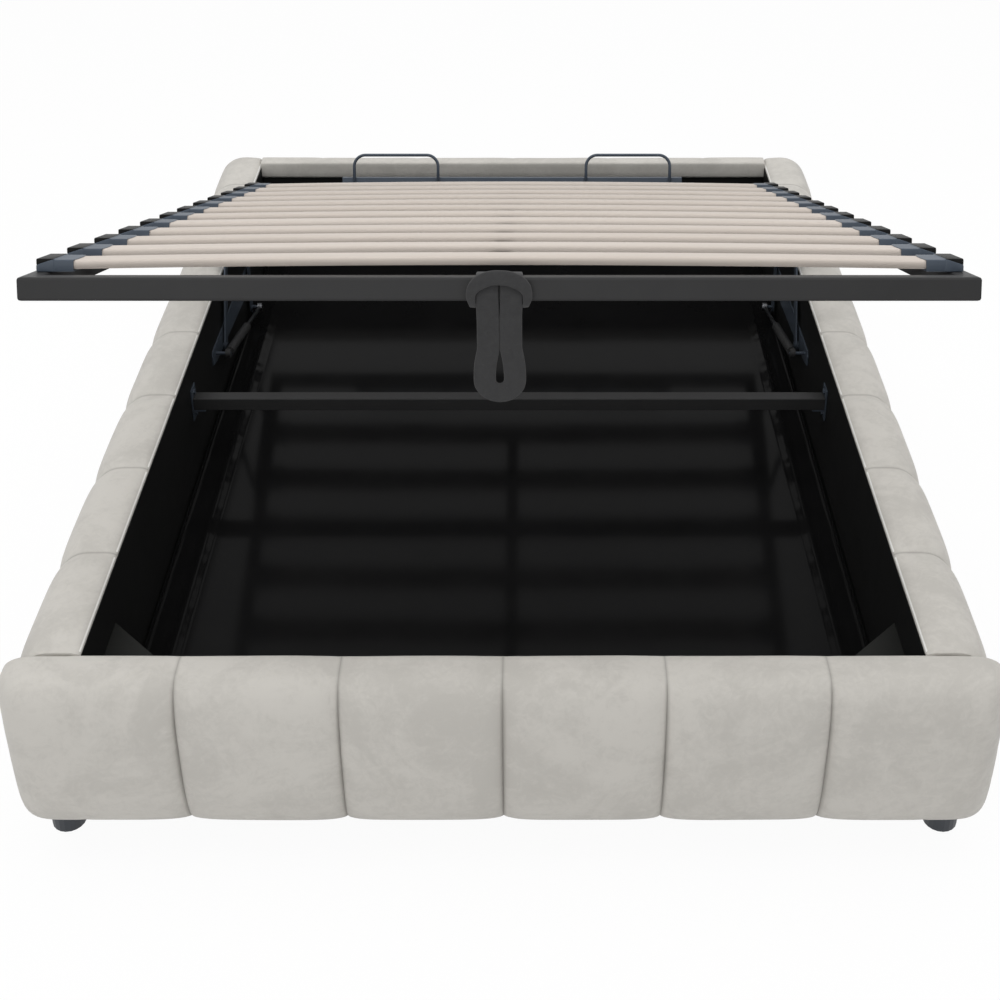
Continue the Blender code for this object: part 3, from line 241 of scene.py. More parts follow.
# %% [markdown]
# ## Velvet
#
# The cover is a short-pile velvet. What makes it read as velvet is not its colour, which hardly varies, but
# the nap: wherever a hand has brushed it, the pile leans another way and the patch looks a shade lighter or
# darker. So a soft noise at hand size mixes two close greiges, a second draws short strokes through them, a
# third adds flecks, and a fine noise is the pile. The shader's own sheen lights the pile at grazing angles.
# Two attributes are written on the mesh later, and both paint light into the colour: the seam's is painted
# shade in the stitched valleys, and the rim's is a painted highlight along the inner top edge, at the board.

# %% Velvet
velvet = Finish("velvet", sheen_weight=0.16, sheen_roughness=0.45, specular_ior_level=0.12)
NAP_LIGHT = (0.565, 0.545, 0.508, 1.0)
NAP_DARK = (0.492, 0.474, 0.441, 1.0)
SEAM_SHADE = (0.20, 0.190, 0.174, 1.0)
# The colour of the painted highlight along the inner top edge of the padding.
RIM_HIGHLIGHT = (0.88, 0.87, 0.84, 1.0)
patches = velvet.noise(5.5, 7.0, 0.62, 1.3)
strokes = velvet.noise(1.0, 6.0, 0.65, 1.4, velvet.stretched((15.0, 15.0, 30.0), (0.5, 0.3, 0.6)))
pile = velvet.noise(620.0, 3.0, 0.6)
flecks = velvet.noise(45.0, 5.0, 0.7, 1.6)
nap = velvet.between(0.54 * patches + 0.20 * strokes + 0.26 * flecks, 0.41, 0.59)
brushed = velvet.mix(nap, NAP_DARK, NAP_LIGHT)
piled = velvet.mix(0.10 * pile, brushed, NAP_DARK)
# Painted shade: the seam attribute darkens the colour in the stitched valleys.
seam = velvet.node("ShaderNodeAttribute", {"attribute_name": "seam"}, {}, "Fac")
# Painted highlight: the rim attribute lightens a thin line along the inner top edge.
rim_highlight = velvet.node("ShaderNodeAttribute", {"attribute_name": "rim_highlight"}, {}, "Fac")
highlighted = velvet.mix(0.85 * velvet.between(rim_highlight, 0.78, 0.88), piled, RIM_HIGHLIGHT)
velvet_color = velvet.mix(0.6 * seam**3.0, highlighted, SEAM_SHADE)
pile_bump = velvet.bump(pile, 0.25 * MM, 0.5)
velvet_bump = velvet.bump(flecks + strokes, 0.5 * MM, 0.35, pile_bump)
FINISHES["velvet"] = velvet.set(base_color=velvet_color, roughness=0.86 + 0.12 * nap, normal=velvet_bump)
print("velvet from", len(velvet.tree.nodes), "nodes")

# %% [markdown]
# ## Black boards and lining
#
# The inner faces of the rails and the floor are boards faced in a black non-woven fabric. The lining on the
# floor has a faint satin: it mirrors the platform above it, so the light between the slats lies on it in soft
# bands, with the cross rail's dark image between them. A low roughness and a low index of refraction make
# that image soft and dim.

# %% Board, lining and gusset
board = Finish("board", ior=1.15)
board_fibres = board.noise(1.0, 3.0, 0.6, 0.4, board.stretched((260.0, 420.0, 420.0)))
board_clouds = board.noise(7.0, 3.0, 0.6)
board_color = board.mix(board_clouds, (0.0085, 0.0086, 0.0085, 1.0), (0.0132, 0.0133, 0.0132, 1.0))
board_bump = board.bump(board_fibres, 0.12 * MM, 0.35, board.eased(1.0 * MM))
FINISHES["board"] = board.set(base_color=board_color, roughness=0.40 + 0.14 * board_clouds, normal=board_bump)
liner = Finish("liner", ior=1.115)
liner_fibres = liner.noise(500.0, 2.0, 0.6)
liner_clouds = liner.noise(9.0, 3.0, 0.6)
liner_color = liner.mix(liner_clouds, (0.0050, 0.0050, 0.0052, 1.0), (0.0084, 0.0084, 0.0086, 1.0))
liner_bump = liner.bump(liner_fibres, 0.03 * MM, 0.08)
FINISHES["liner"] = liner.set(base_color=liner_color, roughness=0.08 + 0.05 * liner_clouds, normal=liner_bump)
gusset = Finish("gusset", specular_ior_level=0.12)
gusset_grain = gusset.noise(1.0, 4.0, 0.6, 0.5, gusset.stretched((18.0, 160.0, 160.0)))
gusset_color = gusset.mix(gusset_grain, (0.012, 0.0124, 0.0115, 1.0), (0.021, 0.0215, 0.020, 1.0))
gusset_bump = gusset.bump(gusset_grain, 0.2 * MM, 0.3, gusset.eased(1.2 * MM))
FINISHES["gusset"] = gusset.set(
    base_color=gusset_color, roughness=0.6 + 0.2 * gusset_grain, normal=gusset_bump
)
print("board, liner and gusset")

# %% [markdown]
# ## Painted steel
#
# The frame is square tube in charcoal powder coat, which flows into a fine orange peel. The lift and the
# mattress stop are blue-grey. Where a coat wraps an edge it catches the light, so the normal is rounded
# there. The strut's rod is ground and darkened steel, whose fine marks run round it.


# %% Steel finishes
def coated_steel(name, low, high, roughness, metallic=0.0):
    """Powder-coated steel between two close colours."""
    made = Finish(name, metallic=metallic, specular_ior_level=0.15)
    peel = made.noise(900.0, 2.0, 0.5)
    clouds = made.noise(11.0, 4.0, 0.6, 0.6)
    dust = made.between(made.noise(60.0, 5.0, 0.7), 0.55, 0.75)
    color = made.mix(clouds, (*low, 1.0), (*high, 1.0))
    normal = made.bump(peel, 0.12 * MM, 0.3, made.eased(0.8 * MM))
    rough = roughness + 0.10 * clouds + 0.08 * dust
    FINISHES[name] = made.set(base_color=color, roughness=rough, normal=normal)


coated_steel("black_steel", (0.024, 0.024, 0.0245), (0.033, 0.033, 0.0335), 0.42)
coated_steel("blue_steel", (0.044, 0.054, 0.070), (0.074, 0.090, 0.114), 0.30, metallic=0.15)
rod = Finish("chrome_rod", metallic=1.0)
grinding = rod.noise(1.0, 3.0, 0.6, 0.0, rod.stretched((300.0, 30.0, 300.0)))
rod_color = rod.mix(grinding, (0.16, 0.165, 0.175, 1.0), (0.26, 0.265, 0.28, 1.0))
FINISHES["chrome_rod"] = rod.set(base_color=rod_color, roughness=0.24 + 0.12 * grinding)
print("steel finishes")

# %% [markdown]
# ## Varnished slats
#
# Each slat is bent from thin layers of pale birch. Its top face shows long fine grain, and its edges show the
# layers. All slats share one material, so a number that changes at each slat's place along the platform picks
# a slightly different tone for each. The coordinates are turned with the tilted platform first.

# %% Slat wood
SLAT_COUNT = 12
FIRST_SLAT = 95 * MM
SLAT_PITCH = 155 * MM
wood = Finish("slat", specular_ior_level=0.2)
datum_turned = Matrix.Rotation(PLATFORM_TILT, 3, "X") @ DATUM
to_platform = {"Vector": wood.place, "Location": tuple(-datum_turned), "Rotation": (PLATFORM_TILT, 0, 0)}
laid = wood.node("ShaderNodeMapping", {}, to_platform)
along_platform = wood.node("ShaderNodeSeparateXYZ", {}, {0: laid}, "Y")
depth = along_platform.sibling("Z")
count = (along_platform - (FIRST_SLAT - SLAT_PITCH / 2)) * (1 / SLAT_PITCH)
which = wood.node("ShaderNodeMath", {"operation": "FLOOR"}, {0: count})
tone = wood.node("ShaderNodeTexWhiteNoise", {"noise_dimensions": "1D"}, {"W": which}, "Value")
shifted = wood.node("ShaderNodeCombineXYZ", {}, {"X": 3.7 * which})
along = wood.node("ShaderNodeVectorMath", {"operation": "ADD"}, {0: laid, 1: shifted})
pulled = wood.scaled(along, (1.6, 55.0, 55.0))
fine = wood.scaled(along, (12.0, 700.0, 700.0))
figure = wood.noise(1.0, 5.0, 0.6, 1.4, pulled)
pores = wood.noise(1.0, 2.0, 0.5, 0.2, fine)
layers = wood.node("ShaderNodeMath", {"operation": "PINGPONG"}, {0: depth, 1: 0.9 * MM})
WOOD_PALE = (0.510, 0.457, 0.412, 1.0)
WOOD_WARM = (0.415, 0.362, 0.316, 1.0)
grain = wood.between(0.7 * figure + 0.3 * pores, 0.38, 0.68)
wood_color = wood.mix(0.30 * grain + 0.34 * tone, WOOD_PALE, WOOD_WARM)
wood_bump = wood.bump(pores + 0.6 * figure, 0.08 * MM, 0.35)
layer_bump = wood.bump(layers * (1 / MM), 0.05 * MM, 0.25, wood_bump)
FINISHES["slat"] = wood.set(base_color=wood_color, roughness=0.42 + 0.16 * pores, normal=layer_bump)
print("slat wood")

# %% [markdown]
# ## Moulded plastic and felt
#
# The holders and feet are moulded plastic with a fine spark texture. The pull strap is dark felt, a thick mat
# of short fibres: fuzzy at its edges, with small lighter hairs on top.


# %% Plastic and felt
def moulded(name, low, high, roughness, gloss):
    """Moulded plastic with a fine texture between two close colours."""
    made = Finish(name, specular_ior_level=gloss)
    spark = made.noise(1400.0, 2.0, 0.6)
    clouds = made.noise(30.0, 3.0, 0.5)
    color = made.mix(0.7 * clouds + 0.3 * spark, (*low, 1.0), (*high, 1.0))
    normal = made.bump(spark, 0.06 * MM, 0.4, made.eased(0.6 * MM))
    FINISHES[name] = made.set(base_color=color, roughness=roughness + 0.12 * clouds, normal=normal)


moulded("holder", (0.046, 0.059, 0.080), (0.068, 0.086, 0.111), 0.40, 0.28)
moulded("foot_plastic", (0.015, 0.019, 0.026), (0.024, 0.030, 0.039), 0.42, 0.5)
felt = Finish("strap", sheen_weight=0.10, sheen_roughness=0.6, specular_ior_level=0.05)
fibres = felt.noise(480.0, 4.0, 0.7, 1.2)
matting = felt.noise(95.0, 4.0, 0.65, 0.6)
hairs = felt.between(felt.noise(210.0, 3.0, 0.7, 2.5), 0.60, 0.72)
felt_color = felt.mix(matting, (0.030, 0.030, 0.031, 1.0), (0.052, 0.052, 0.053, 1.0))
haired = felt.mix(0.35 * hairs, felt_color, (0.085, 0.085, 0.087, 1.0))
felt_bump = felt.bump(0.6 * fibres + 0.4 * matting, 0.5 * MM, 0.6)
FINISHES["strap"] = felt.set(base_color=haired, roughness=0.9 + 0.08 * fibres, normal=felt_bump)
print("plastic and felt")

# %% [markdown]
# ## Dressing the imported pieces
#
# The record names each node's material slot, so a loop can put the finish of that name on each piece.

# %% Dress the nodes
for subpart in frame["record"]["subparts"]:
    node, slot_name = subpart["node"], subpart["material_slot"]
    mesh = NODES[node].data
    mesh.materials.clear()
    mesh.materials.append(FINISHES[slot_name])

# %% [markdown]
# ## Making and keeping pieces
#
# A new piece is a bmesh turned into an object at the origin, with its finish. `keep` puts it on the body that
# it rides on and hides the packed nodes that it stands for.


# %% Piece helpers
def to_object(name, bm, slot_name, smooth_angle=None):
    """Turns a bmesh into an object with a finish, smooth up to the given angle."""
    mesh = bpy.data.meshes.new(name)
    bm.to_mesh(mesh)
    bm.free()
    made = into_scene(name, mesh)
    mesh.materials.append(FINISHES[slot_name])
    mesh.shade_smooth()
    if smooth_angle:
        mesh.set_sharp_from_angle(angle=smooth_angle)
    return made


def keep(piece, slot_name, body, *replaced):
    """Hides the nodes that a finished piece stands for and puts it on the body that it rides on. Its slot_name is
    not used.
    """
    if replaced:
        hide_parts(*replaced)
    if body:
        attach(piece, body)
    print(f"{piece.name}: {len(piece.data.polygons)} faces")
    return piece


def subdivided(piece, levels):
    step = piece.modifiers.new("smooth", "SUBSURF")
    step.levels = step.render_levels = levels
    return piece


def ring_edges(bm, points):
    """A closed loop of edges through points, with its vertices."""
    verts = [bm.verts.new(point) for point in points]
    return verts, [bm.edges.new(pair) for pair in zip(verts, verts[1:] + verts[:1])]


def evenly(line, count):
    """The same open line, with its points spaced evenly along it."""
    points = [Vector(p) for p in line]
    marks = [0.0]
    for a, b in zip(points, points[1:]):
        marks.append(marks[-1] + (b - a).length)
    placed, k = [], 0
    for i in range(count):
        target = marks[-1] * i / (count - 1)
        while k < len(marks) - 2 and marks[k + 1] < target:
            k += 1
        share = (target - marks[k]) / (marks[k + 1] - marks[k])
        placed.append(points[k].lerp(points[k + 1], share))
    return placed


# %% [markdown]
# ## The padded rails
#
# Each rail is a board wrapped in foam and velvet, sewn into upright channels 27 cm wide. A box with grooves
# would look like a box: the real cover is drawn in at each seam, swells between two seams, and rolls over the
# top and under the bottom. So one ring is drawn round the padding at each station along the rail, the rings
# crowd towards the seams, and bridging them gives the skin. Each ring also goes round the board, so that the
# padding wraps it.

# %% Sizes of the padding
SEAM_PITCH = 270 * MM
PAD_TOP_RISE = 8 * MM
PAD_SHOULDER = 45 * MM
PAD_WAIST_DROP = 140 * MM
PAD_END_EASE = 45 * MM
# A free end's rounding in plan, how far the end face reaches out, and how far its top draws in.
FOOT_CORNER = (75 * MM, 55 * MM, 28 * MM)
HEAD_CORNER = (50 * MM, 92 * MM, 14 * MM)
LINING_DROP = 42 * MM
# The head rail's cover turns down over the board in a crisp fold.
FOLD_RADIUS = 7 * MM
FOLD_POINTS = 6
CHANNEL_FLATNESS = 5
CHANNEL_FULLNESS = 0.55
CHANNEL_STEPS = 18
# The roll over the top and under the bottom is two quarters of a squarish ellipse.
ROLL_POWER = 2 / 2.7
ROLL_STEPS = 24
SKIN_POINTS = 44
BACK_POINTS = 4
CORNER_POWER = 2.5


def crown(share):
    """How full a channel is at a share of its width: nothing at its seams, full between them."""
    return (1 - abs(2 * share - 1) ** CHANNEL_FLATNESS) ** CHANNEL_FULLNESS


def stations(low, high):
    """Places along a rail with their crown: seams at a steady pitch from zero, and both ends."""
    shortest = SEAM_PITCH / 4
    first = ceil((low + shortest) / SEAM_PITCH)
    last = ceil((high - shortest) / SEAM_PITCH)
    seams = [low] + [k * SEAM_PITCH for k in range(first, last)] + [high]
    found = []
    for a, b in zip(seams, seams[1:]):
        for i in range(CHANNEL_STEPS):
            share = (1 - cos(pi * i / CHANNEL_STEPS)) / 2
            found.append((a + (b - a) * share, crown(share)))
    return found + [(high, 0.0)], seams


def skin_line(reach, drawn, drop, top_share):
    """The padding's outer skin as (outward, height) points: up, over the top and down to the bottom edge."""
    top_edge = RAIL_TOP - drop
    top = top_edge + PAD_TOP_RISE - min(drawn * top_share, PAD_TOP_RISE)
    bottom = RAIL_BOTTOM + drop
    shoulder = min(PAD_SHOULDER, reach / 2)
    waist = RAIL_TOP - PAD_WAIST_DROP
    beyond = reach - drawn - shoulder
    line = [(FIT, top_edge - BOARD_TOP_DROP / 2), (FIT + shoulder / 4, (top_edge + top) / 2)]
    angles = [pi / 2 * i / ROLL_STEPS for i in range(ROLL_STEPS + 1)]
    for a in angles:
        line.append((shoulder + beyond * sin(a) ** ROLL_POWER, waist + (top - waist) * cos(a) ** ROLL_POWER))
    depth = waist - bottom
    for a in angles[1:]:
        line.append((shoulder + beyond * cos(a) ** ROLL_POWER, waist - depth * sin(a) ** ROLL_POWER))
    return line


print("padding sizes set")

# %% [markdown]
# The ends of the foot rail and the head ends of the side rails are free, and there the padding rounds off in
# plan and draws in at its top and bottom. A share of an ellipse does both.


# %% Rings of one rail
def corner_reach(reach, distance, radius, end_reach):
    if distance >= radius:
        return reach
    share = 1 - distance / radius
    return end_reach + (reach - end_reach) * (1 - share**CORNER_POWER) ** 0.5


def end_drop(distance, deepest):
    share = max(0.0, 1 - distance / PAD_END_EASE)
    return deepest * (1 - (1 - share**2) ** 0.5)


def back_line(bottom, top_edge, board, lining):
    """Round the board: up its outer face, over its top and down inside to the skin's first point."""
    if board is None:
        rise = top_edge - bottom
        return [(FIT, bottom + rise * i / (BACK_POINTS + 1)) for i in range(1, BACK_POINTS + 1)]
    near, far = board
    top = BOARD_TOP + FIT
    return [(far, (bottom + top) / 2), (far, top), (near, top), (near, RAIL_TOP - lining if lining else top)]


class Rail:
    """One padded rail: where it runs, how far it reaches, and which of its ends are free."""

    def __init__(self, low, high, reach, depth, place, corner, free, core_high=None, lining=0.0):
        self.low, self.high, self.reach, self.depth, self.place = low, high, reach, depth, place
        self.radius, self.end_reach, self.end_drop = corner
        self.free_low, self.free_high = free
        self.core_high, self.lining = core_high, lining

    def sewn(self, height):
        """How far a seam shows at a height. A rail with a lining is sewn on its outer face alone."""
        if not self.lining:
            return 1.0
        return min(1.0, max(0.0, (RAIL_TOP - PAD_SHOULDER / 2 - height) / PAD_SHOULDER))

    def ring(self, along, full):
        free = [along - self.low] * self.free_low + [self.high - along] * self.free_high
        reach = min([self.reach] + [corner_reach(self.reach, d, self.radius, self.end_reach) for d in free])
        drop = max([0.0] + [end_drop(d, self.end_drop) for d in free])
        drawn = min(self.depth, reach / 4) * (1 - full)
        skin = skin_line(reach, drawn, drop, 0.0 if self.lining else 1.0)
        board = None
        if self.core_high is None or abs(along) < self.core_high:
            near = LINING_THICK if self.lining else 0.0
            board = (near - FIT if self.lining else FIT, near + BOARD_THICK + FIT)
        skin.append((board[1] if board else FIT, RAIL_BOTTOM + drop))
        fold = []
        if self.lining:
            top = skin[2][1]
            turns = [pi / 2 * k / (FOLD_POINTS - 2) for k in range(FOLD_POINTS - 1)]
            fold = [(FIT, RAIL_TOP - self.lining)]
            fold += [(FIT + FOLD_RADIUS * (1 - cos(a)), top - FOLD_RADIUS * (1 - sin(a))) for a in turns]
            skin = [(FIT + 2 * FOLD_RADIUS, top)] + skin[2:]
        points = [Vector(p) for p in fold + evenly(skin, SKIN_POINTS - len(fold))]
        points += [Vector(p) for p in back_line(RAIL_BOTTOM + drop, skin[0][1], board, self.lining)]
        return [self.place(along, p.x, p.y) for p in points]


print("rail rings ready")

# %% [markdown]
# A rail's skin is then blown up a little with a cloth simulation: the seams and the side against the board
# are held, and a small pressure fills the channels, so that the velvet takes slightly uneven curves as
# stuffed fabric does. A cap keeps the movement small. What the simulation can't make on this coarse mesh, the
# small gathers along the stitches, is added after it with a little noise.

# %% Skin of one rail
PRESSURE = 4.0
PUFF_FRAMES = 20
PUFF_CAP = 6 * MM
# How far the painted shade spreads from a seam.
SEAM_SPREAD = 6 * MM
SEAM_CREASE = 0.85
# How many of a ring's points are held firm at either edge of the skin.
FIRM_POINTS = 2
# The painted highlight along the inner top edge, at the board: it fades over this reach and stops short of each
# seam.
RIM_REACH = 20 * MM
RIM_BREAK = 5 * MM
RIM_POINTS = 3
TOUCHING = MM / 10


def puff(piece, held):
    """Fills a padded cover a little with a cloth simulation and keeps the result."""
    group = piece.vertex_groups.new(name="held")
    group.add(held, 1.0, "REPLACE")
    step = piece.modifiers.new("puff", "CLOTH")
    cloth = step.settings
    cloth.quality = 4
    cloth.mass = 0.4
    cloth.tension_stiffness = cloth.compression_stiffness = 12
    cloth.shear_stiffness = 6
    cloth.bending_stiffness = 1.5
    cloth.use_pressure = True
    cloth.uniform_pressure_force = PRESSURE
    cloth.effector_weights.gravity = 0.0
    cloth.vertex_group_mass = "held"
    step.point_cache.frame_start, step.point_cache.frame_end = 1, PUFF_FRAMES
    for frame_number in range(1, PUFF_FRAMES + 1):
        bpy.context.scene.frame_set(frame_number)
    blown = piece.evaluated_get(bpy.context.evaluated_depsgraph_get()).data
    most = 0.0
    for vertex, moved in zip(piece.data.vertices, blown.vertices):
        step_out = moved.co - vertex.co
        step_out = step_out.normalized() * min(step_out.length, PUFF_CAP)
        most = max(most, step_out.length)
        vertex.co += step_out
    piece.modifiers.remove(step)
    piece.vertex_groups.remove(group)
    bpy.context.scene.frame_set(1)
    print(f"{piece.name} puffed by up to {most / MM:.1f} mm")


GATHER_REACH = 38 * MM
GATHER_START = 4 * MM
GATHER_DEPTH = 0.9 * MM
RIPPLES_A_METRE = 55.0
SWELLS_A_METRE = 7.0
SWELL_SHIFT = Vector((3.1, 0.7, 5.2))


def gather(piece):
    """Adds the small pulls beside each seam and a slow unevenness over the whole skin."""
    mesh = piece.data
    distances = mesh.attributes["along"].data
    normals = [Vector(n.vector) for n in mesh.vertex_normals]
    for vertex, near, normal in zip(mesh.vertices, distances, normals):
        place = vertex.co.copy()
        pull = max(0.0, 1 - near.value / GATHER_REACH) * min(1.0, near.value / GATHER_START)
        ripple = noise.noise(place * RIPPLES_A_METRE) * GATHER_DEPTH * pull
        slow = noise.noise(place * SWELLS_A_METRE + SWELL_SHIFT) * GATHER_DEPTH
        if near.value >= TOUCHING:
            vertex.co += normal * (ripple + slow)


print("puffing and gathering ready")

# %% [markdown]
# With these, a rail is made in one go. Its rings carry three attributes: `seam` is painted shade in the stitched
# valleys, the rim attribute is a painted highlight along the inner top edge, and `along` is the distance to the
# nearest seam, which `gather` reads.


# %% Upholster one rail
def ring_places(rail):
    """A rail's stations and seams, with two more stations at each place where its board ends."""
    places, seams = stations(rail.low, rail.high)
    if rail.core_high is not None:
        places += [(s * (rail.core_high + e), None) for s in (-1, 1) for e in (0.0, FIT)]
        places = sorted(p for p in places if rail.low <= p[0] <= rail.high)
        fulls = [full for _, full in places]
        for i, (along, full) in enumerate(places):
            if full is None:
                places[i] = (along, fulls[i - 1] or fulls[i - 2])
    return places, seams


def upholstered(name, rail, node):
    """Builds a rail's padding from its rings, puffs it and finishes it."""
    bm = bmesh.new()
    # The seam and rim layers hold painted shade and a painted highlight for the velvet's colour.
    seam_shade_layer, along_layer, rim_highlight_layer = (bm.verts.layers.float.new(n) for n in ("seam", "along", "rim_highlight"))
    crease = bm.edges.layers.float.new("crease_edge")
    places, seams = ring_places(rail)
    loops, held = [], []
    firm = FOLD_POINTS + 1 if rail.lining else FIRM_POINTS
    for along, full in places:
        verts, edges = ring_edges(bm, rail.ring(along, full))
        near = min(abs(along - s) for s in seams)
        near_sewn = min((abs(along - s) for s in seams[1:-1]), default=SEAM_PITCH)
        at_seam = near < TOUCHING
        at_end = min(along - rail.low, rail.high - along) < TOUCHING
        for j, vert in enumerate(verts):
            is_skin = j < SKIN_POINTS
            sewn = rail.sewn(vert.co.z)
            # Painted shade near a seam, on the skin only.
            vert[seam_shade_layer] = sewn * max(0.0, 1 - near_sewn / SEAM_SPREAD) if is_skin else 0.0
            vert[along_layer] = near if sewn else GATHER_REACH
            # The painted highlight fades from the skin's first point, at the board.
            if j < RIM_POINTS and not rail.lining and near > RIM_BREAK:
                vert[rim_highlight_layer] = max(0.0, 1 - (vert.co - verts[0].co).length / RIM_REACH)
            is_free = firm <= j < SKIN_POINTS - FIRM_POINTS
            if at_end or (at_seam and sewn) or not is_free:
                held.append(vert)
        if at_seam:
            for edge in edges[: SKIN_POINTS - 1]:
                edge[crease] = SEAM_CREASE * min(rail.sewn(v.co.z) for v in edge.verts)
        loops.append(edges)
    for here, there in zip(loops, loops[1:]):
        bmesh.ops.bridge_loops(bm, edges=here + there)
    caps = [bmesh.ops.contextual_create(bm, geom=end)["faces"][0] for end in (loops[0], loops[-1])]
    bmesh.ops.recalc_face_normals(bm, faces=bm.faces)
    bmesh.ops.triangulate(bm, faces=caps)
    bm.verts.index_update()
    held = [vert.index for vert in held]
    piece = to_object(name, bm, "velvet")
    puff(piece, held)
    gather(piece)
    subdivided(piece, 1)
    return keep(piece, "velvet", "bed_box", node)


print("upholstery ready")

# %% The four rails
FOOT_REACH = WELL_FOOT_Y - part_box("rail_pad_foot")[0].y
SIDE_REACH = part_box("rail_pad_right")[1].x - WELL_HALF
HEAD_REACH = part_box("rail_pad_head")[1].y - WELL_HEAD_Y
SEAM_DEPTH = 22 * MM
SIDE_SEAM_DEPTH = 14 * MM
HEAD_SEAM_DEPTH = 8 * MM
pad_half = WELL_HALF + SIDE_REACH - FIT
core_half = WELL_HALF + BOARD_THICK + FIT
rail_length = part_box("rail_pad_right")[1].y - WELL_FOOT_Y
side_core_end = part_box("rail_core_right")[1].y - WELL_FOOT_Y + FIT
foot = Rail(
    -pad_half, pad_half, FOOT_REACH, SEAM_DEPTH,
    lambda along, out, z: (along, WELL_FOOT_Y - out, z), FOOT_CORNER, free=(True, True), core_high=core_half,
)
head = Rail(
    -WELL_HALF + FIT, WELL_HALF - FIT, HEAD_REACH, HEAD_SEAM_DEPTH,
    lambda along, out, z: (along, WELL_HEAD_Y + out, z), HEAD_CORNER, free=(False, False), lining=LINING_DROP,
)
upholstered("foot_rail_cover", foot, "rail_pad_foot")
upholstered("head_rail_cover", head, "rail_pad_head")
for side, name in ((-1, "left"), (1, "right")):
    rail = Rail(
        FIT, rail_length, SIDE_REACH, SIDE_SEAM_DEPTH,
        lambda along, out, z, side=side: (side * (WELL_HALF + out), WELL_FOOT_Y + along, z),
        HEAD_CORNER, free=(False, True), core_high=side_core_end,
    )
    upholstered(f"side_rail_cover_{name}", rail, f"rail_pad_{name}")

# %% [markdown]
# ## Pull strap
#
# The strap is one endless felt band, hitched round the foot tube as a luggage tag is: its bight lies in
# front, and its two legs come over the tube from behind, pass under the bight and hang down side by side to a
# round turn. A band is easiest as a sweep: each station gives a middle and the way that its flat side faces,
# and the direction across the band follows from those. The hitch is drawn on the tilted platform and the
# hanging part straight down.


# %% Sweeps
def smooth_way(stations, steps):
    """More stations, rows of numbers, on a smooth closed Catmull-Rom curve through the given ones."""
    count = len(stations)
    rows = []
    for i in range(count):
        near = [stations[(i + k) % count] for k in (-1, 0, 1, 2)]
        for j in range(steps):
            t = j / steps
            rows.append([
                0.5 * (2 * b + (c - a) * t
                       + (2 * a - 5 * b + 4 * c - d) * t**2 + (3 * b - a - 3 * c + d) * t**3)
                for a, b, c, d in zip(*near)
            ])
    return rows


def rounded_section(half, low, high, radius, steps=5, between=0):
    """A rounded rectangle as (along, height) points, with extra points between on its top and bottom."""
    points = []
    reach = half - radius
    for side, level, start in ((1, high, 0), (-1, high, 90), (-1, low, 180), (1, low, 270)):
        hub = level - radius if level == high else level + radius
        for k in range(steps):
            angle = radians(start + 90 * k / (steps - 1))
            points.append((side * reach + radius * cos(angle), hub + radius * sin(angle)))
        if start in (0, 180):
            ends = (side * reach, -side * reach)
            for k in range(1, between + 1):
                points.append((ends[0] + (ends[1] - ends[0]) * k / (between + 1), level))
    return points


def swept(bm, rings, closed=False):
    """Skins a row of rings. Open ends are capped."""
    loops = [ring_edges(bm, ring)[1] for ring in rings]
    for here, there in zip(loops, loops[1:] + loops[:1] if closed else loops[1:]):
        bmesh.ops.bridge_loops(bm, edges=here + there)
    if not closed:
        for end in (loops[0], loops[-1]):
            bmesh.ops.contextual_create(bm, geom=end)
    bmesh.ops.recalc_face_normals(bm, faces=bm.faces)


def swept_piece(name, runs, slot_name, body, smooth_angle, *replaced):
    """Keeps a piece that is made of swept runs of rings."""
    bm = bmesh.new()
    for rings in runs:
        swept(bm, rings)
    keep(to_object(name, bm, slot_name, radians(smooth_angle)), slot_name, body, *replaced)


print("sweeps ready")

# %% The hitched band
BAND_THICK = 5 * MM
BAND_CORNER = 0.48 * BAND_THICK
LEG_WIDTH = 33 * MM
FELT_UNEVEN = 0.35 * MM
FELT_LUMPS_A_METRE = 60.0
# The vector noise takes its offsets from a seed, and a fixed one gives the same band on each run.
FELT_SEED = 1
# The radius of the round turn at the foot of the legs, and how far the band hangs below its pivot.
TURN_RADIUS = 22.5 * MM
STRAP_DROP = STRAP_PIVOT.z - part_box("lift_strap")[0].z
# The hitch, from the middle of the bight: place x, y, z on the platform in mm, facing, and width in mm.
HITCH = (
    (0, -10.6, 0.4, 0, -1, 0.08, 22), (13, -10.7, -0.4, 0.01, -1, 0.08, 22),
    (26, -10.9, -5.0, 0.05, -1, 0.06, 22), (36, -10.6, -13, 0.12, -0.99, 0.02, 19),
    (40.6, -9.7, -23, 0.20, -0.97, -0.02, 15), (40.4, -8.2, -32, 0.20, -0.93, -0.30, 13),
    (38.8, -3.2, -40, 0.12, -0.55, -0.82, 10), (36, 6, -42.4, 0, 0, -1, 15),
    (33.5, 22, -41.4, 0, 0.12, -0.99, 22), (31, 32.5, -36.4, 0, 0.75, -0.66, 27),
    (27, 35.2, -26, 0, 1, 0, 31), (21.5, 34.8, -13, 0, 1, 0.02, 33),
    (18, 33.6, -3, 0, 0.92, 0.40, 33), (17.2, 29.5, 2.0, 0, 0.45, 0.90, 33),
    (17.2, 18, 3.0, 0, 0, 1, 33), (17.2, 6, 2.9, 0, -0.05, 1, 33),
    (17.2, -0.8, 1.2, 0, -0.66, 0.75, 33), (17.4, -3.8, -5.5, 0, -0.98, 0.20, 32.5),
    (17.6, -5.2, -17, 0, -0.99, 0.08, 32.5), (17.4, -6.0, -27, 0, -0.98, -0.2, 32.5),
)
# The hanging legs: how far below the pivot, and how wide the slit between them is, in mm.
LEG_GAPS = ((8, 1.8), (22, 0.8), (40, 0.05), (64, 0.05), (84, 0.4), (98, 5.4), (113, 9.8))


